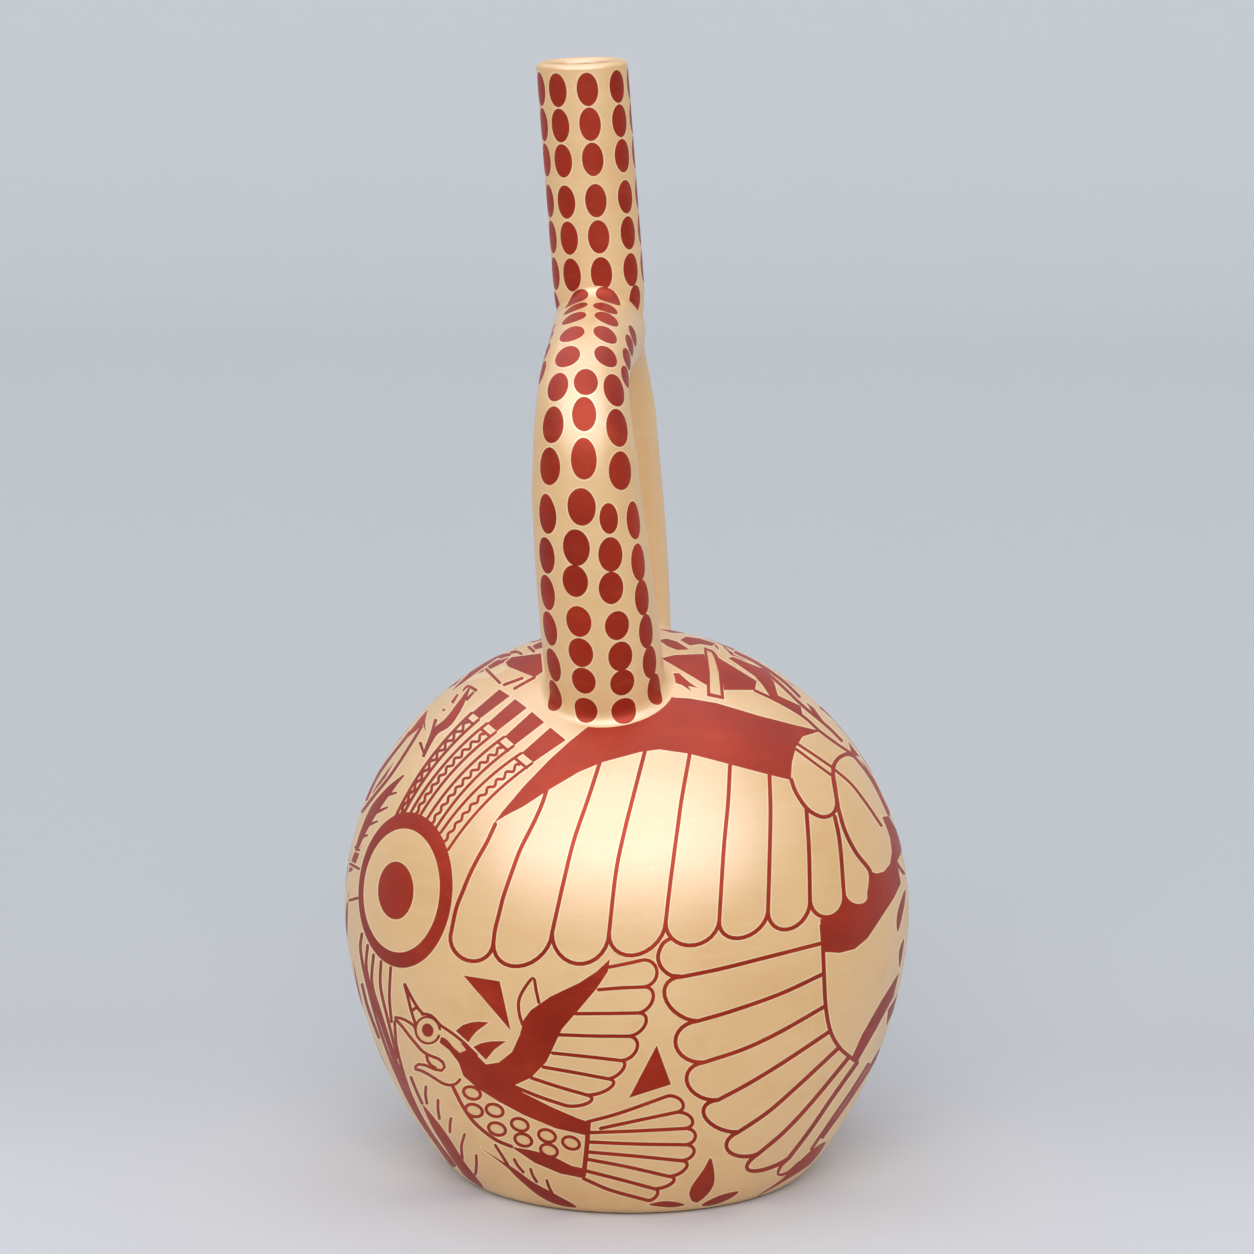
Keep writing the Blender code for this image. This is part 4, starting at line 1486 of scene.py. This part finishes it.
def side_leaf(degrees, height, length, width, tilt):
    """A pointed, slightly curved leaf in the belly's chart."""
    turn = math.radians(degrees)
    scale = math.exp(at_height(height, PROFILE_LOG))
    scale_per_metre = scale / at_height(height, PROFILE[:, 0])
    share = np.linspace(0, 1, LEAF_POINTS)
    spine = np.stack([LEAF_BOW * length * np.sin(math.pi * share), (share - 0.5) * length], 1)
    half = width / 2 * np.sin(math.pi * share**LEAF_POWER)
    rim = np.stack([half, np.zeros(len(half))], 1)
    outline = np.concatenate([spine + rim, (spine - rim)[-2:0:-1]]) * scale_per_metre
    sine, cosine = math.sin(math.radians(tilt)), math.cos(math.radians(tilt))
    sideways = outline[:, 0] * cosine + outline[:, 1] * sine
    radial = scale - (outline[:, 1] * cosine - outline[:, 0] * sine)
    x = radial * math.cos(turn) - sideways * math.sin(turn)
    y = radial * math.sin(turn) + sideways * math.cos(turn)
    return np.stack([x, y], 1)


def belly_paint():
    """The painting in the belly's chart; the far side repeats it half a turn on."""
    front = [(slot, photo_to_belly(outline)) for slot, outline in front_paint()]
    leaves = []
    for degrees, height, length, width, tilt in SIDE_LEAVES:
        leaves.append(side_leaf(degrees, height * 1e-3, length * 1e-3, width * 1e-3, tilt))
    half = with_halo(leaves, SIDE_HALO) + front
    return [(slot, -outline) for slot, outline in half] + half


# Rows of points are this many spacings apart
ROW_STEP = 0.87


def fill_belly(spacing=0.0024):
    """Places on rings about one spacing apart, over the whole belly."""
    rows = []
    runs = np.arange(spacing / 2, PROFILE_RUN[-1] - spacing / 3, spacing * ROW_STEP)
    for k, run in enumerate(runs):
        radius = np.interp(run, PROFILE_RUN, PROFILE[:, 0])
        scale = math.exp(np.interp(run, PROFILE_RUN, PROFILE_LOG))
        count = max(int(2 * math.pi * radius / spacing), 5)
        turn = (np.arange(count) + 0.5 * (k % 2)) / count * 2 * math.pi
        rows.append(np.stack([scale * np.cos(turn), scale * np.sin(turn)], 1))
    return np.concatenate(rows)


def fill_box(low, high, spacing):
    """Places in staggered rows over a rectangle."""
    rows = []
    for k, y in enumerate(np.arange(low[1] + spacing / 2, high[1], spacing * ROW_STEP)):
        x = np.arange(low[0] + spacing * (0.5 if k % 2 else 0.25), high[0] - spacing * 0.2, spacing)
        rows.append(np.stack([x, np.full(len(x), y)], 1))
    return np.concatenate(rows)


BASE_SIDES = 180
BASE_RINGS = 18
LIP_RINGS = 13
ARCH_SPACING = 0.0014
SPOUT_SPACING = 0.0013


def build_belly(skin, feet):
    """The painted belly down to the edge of its base, and the plain underside."""
    turn = ring_turns(BASE_SIDES)
    edge = math.exp(PROFILE_LOG[-1])
    border = np.stack([edge * np.cos(turn), edge * np.sin(turn)], 1)
    holes = [foot[2] for foot in feet]

    def normal(_, points):
        return belly_normal(points)

    paint_patch(skin, belly_point, normal, fill_belly(), border, holes, belly_paint())
    ring = belly_point(border)
    centre = np.array([belly_side(0.0), 0.0, 0.0])
    share = np.linspace(0, 1, BASE_RINGS)[:, None, None]
    grid = ring * (1 - share) + centre * share
    add_grid(skin, grid, CREAM, flip=True)


def paint_tube(skin, place, half, low, high, runs, spacing, holes, paint):
    """A painted tube between two rings, with its seam at a chart distance of half to both sides."""
    right_seam = np.stack([np.full(len(runs), half), runs], 1)
    left_seam = np.stack([np.full(len(runs), -half), runs[::-1]], 1)
    right_low, right_high = [[half, low[0, 1]]], [[half, high[0, 1]]]
    border = np.concatenate([low, right_low, right_seam, right_high, high[::-1], left_seam])
    fill = fill_box((-half, low[:, 1].min()), (half, high[:, 1].max()), spacing)
    fill = fill[inside_polygon(fill, border)]

    def normal(chart, _):
        return surface_normal(place, chart)

    paint_patch(skin, place, normal, fill, border, holes, paint)


def build_arch(skin, surface):
    """The painted arch between the rings at its two feet and the ring around the spout."""
    front, back = surface.foot_border(0), surface.foot_border(1)
    half = math.pi * ARCH_MEAN_RADIUS
    runs = np.arange(front[0, 1], back[0, 1], SEAM_STEP)[1:]
    if back[0, 1] - runs[-1] < SEAM_STEP / 2:
        runs = runs[:-1]
    holes = [surface.seat[3]]
    paint_tube(skin, surface.place, half, front, back, runs, ARCH_SPACING, holes, arch_paint())


def build_spout(skin, seat):
    """The painted spout and its rounded lip; returns the ring where the bore begins."""
    half = math.pi * SPOUT_RADIUS
    low = seat[0]
    top = SPOUT_LENGTH - LIP_ROUNDING
    turn = low[:, 0] / SPOUT_RADIUS
    high = np.stack([low[:, 0], np.full(len(low), top)], 1)
    runs = np.arange(low[0, 1], top, SEAM_STEP)[1:-1]
    paint_tube(skin, spout_point, half, low, high, runs, SPOUT_SPACING, [], spout_paint())
    rings = []
    for angle in np.linspace(0, math.pi, LIP_RINGS):
        radius = LIP_CREST_RADIUS + LIP_ROUNDING * math.cos(angle)
        height = top + LIP_ROUNDING * math.sin(angle)
        rings.append(spout_place(turn, np.full(len(turn), radius), np.full(len(turn), height)))
    add_grid(skin, np.stack(rings), CREAM)
    return rings[-1]


# The rings of the inner space: how many, how finely divided, and where they start
CAVITY_RINGS = 40
CAVITY_SIDES = 72
CAVITY_TOP_RADIUS = 0.002
CHANNEL_RINGS = 72
CHANNEL_SIDES = 40
CHANNEL_START = 0.002
BORE_RINGS = 16


def closed_form(name, rings, low_end, high_end):
    """A closed mesh through rings of points and a point at each end, for the inner space."""
    rows, sides = len(rings), len(rings[0])
    points = np.concatenate([np.concatenate(rings), [low_end], [high_end]])
    index = np.arange(rows * sides).reshape(rows, sides)
    ahead = np.roll(index, -1, 1)
    faces = np.stack([index[:-1], ahead[:-1], ahead[1:], index[1:]], -1).reshape(-1, 4).tolist()
    low, high = rows * sides, rows * sides + 1
    faces += [(low, b, a) for a, b in zip(index[0].tolist(), ahead[0].tolist())]
    faces += [(high, a, b) for a, b in zip(index[-1].tolist(), ahead[-1].tolist())]
    mesh = bpy.data.meshes.new(name)
    mesh.from_pydata(points.tolist(), [], faces)
    work = bmesh.new()
    work.from_mesh(mesh)
    bmesh.ops.recalc_face_normals(work, faces=work.faces)
    work.to_mesh(mesh)
    work.free()
    item = bpy.data.objects.new(name, mesh)
    bpy.context.collection.objects.link(item)
    return item


def cavity_form():
    """The belly's cavity, one wall inside its profile."""
    inner = PROFILE - BELLY_WALL * directions(PROFILE)[1]
    inner = inner[(inner[:, 0] > CAVITY_TOP_RADIUS) & (inner[:, 1] > BASE_WALL)]
    inner = inner[:: len(PROFILE) // CAVITY_RINGS]
    turn = ring_turns(CAVITY_SIDES)
    rings = []
    for radius, z in inner:
        x = belly_side(z) + radius * np.cos(turn)
        rings.append(np.stack([x, radius * np.sin(turn), np.full(len(turn), z)], 1))
    top = (belly_side(inner[0, 1]), 0, DOME_TOP - BELLY_WALL)
    return closed_form("cavity", rings, top, (belly_side(BASE_WALL), 0, BASE_WALL))


def channel_form():
    """The hollow of the arch."""
    turn = ring_turns(CHANNEL_SIDES)
    rings = []
    for run in np.linspace(CHANNEL_START, ARCH_RUN[-1] - CHANNEL_START, CHANNEL_RINGS):
        rings.append(around_centre(run, turn, arch_radius(run) - ARCH_WALL))
    return closed_form("channel", rings, rings[0].mean(0), rings[-1].mean(0))


def bore_form(mouth):
    """The hollow of the spout, with a pointed end above its mouth."""
    turn = ring_turns(SEAT_SIDES, -math.pi)
    rings = [mouth]
    top = SPOUT_LENGTH - LIP_ROUNDING
    for share in np.linspace(0, 1, BORE_RINGS)[1:]:
        radius = np.full(len(turn), BORE_RADIUS + (THROAT_RADIUS - BORE_RADIUS) * share)
        rings.append(spout_place(turn, radius, np.full(len(turn), top * (1 - share))))
    tip = mouth.mean(0) + SPOUT_AXIS * BORE_RADIUS
    return closed_form("bore", rings, tip, rings[-1].mean(0)), tip


def build_inside(skin, mouth):
    """The joined inner space of belly, arch and spout, open at the mouth."""
    hollow = cavity_form()
    bore, tip = bore_form(mouth)
    others = [channel_form(), bore]
    for other in others:
        joining = hollow.modifiers.new(other.name, "BOOLEAN")
        joining.operation, joining.solver, joining.object = "UNION", "EXACT", other
    bpy.context.view_layer.update()
    joined = hollow.evaluated_get(bpy.context.evaluated_depsgraph_get())
    work = bmesh.new()
    work.from_mesh(joined.data)
    bmesh.ops.triangulate(work, faces=work.faces)
    ends = [vertex for vertex in work.verts if (vertex.co - Vector(tip)).length < CORNER_DISTANCE]
    bmesh.ops.delete(work, geom=ends, context="VERTS")
    work.normal_update()
    work.verts.index_update()
    points = np.array([vertex.co[:] for vertex in work.verts])
    normals = -np.array([vertex.normal[:] for vertex in work.verts])
    faces = np.array([[vertex.index for vertex in face.verts][::-1] for face in work.faces])
    work.free()
    for corner in mouth:
        gap = np.linalg.norm(points - corner, axis=1)
        points[gap < CORNER_DISTANCE] = corner
    skin.add(points, normals, faces, INSIDE)
    for item in [hollow] + others:
        mesh = item.data
        bpy.data.objects.remove(item)
        bpy.data.meshes.remove(mesh)


def build_bottle():
    """The whole painted bottle as one piece."""
    skin = Skin()
    feet = [leg_foot(-1), leg_foot(1)]
    seat = spout_seat()
    build_belly(skin, feet)
    build_arch(skin, ArchSkin(feet, seat))
    mouth = build_spout(skin, seat)
    build_inside(skin, mouth)
    materials = [cream_slip(), red_slip(), slip_edge(), bare_clay()]
    bottle = skin.make("painted_bottle", materials)
    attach(bottle, "root")
    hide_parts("bottle")


add_camera()
add_floor()
add_lights()
build_bottle()
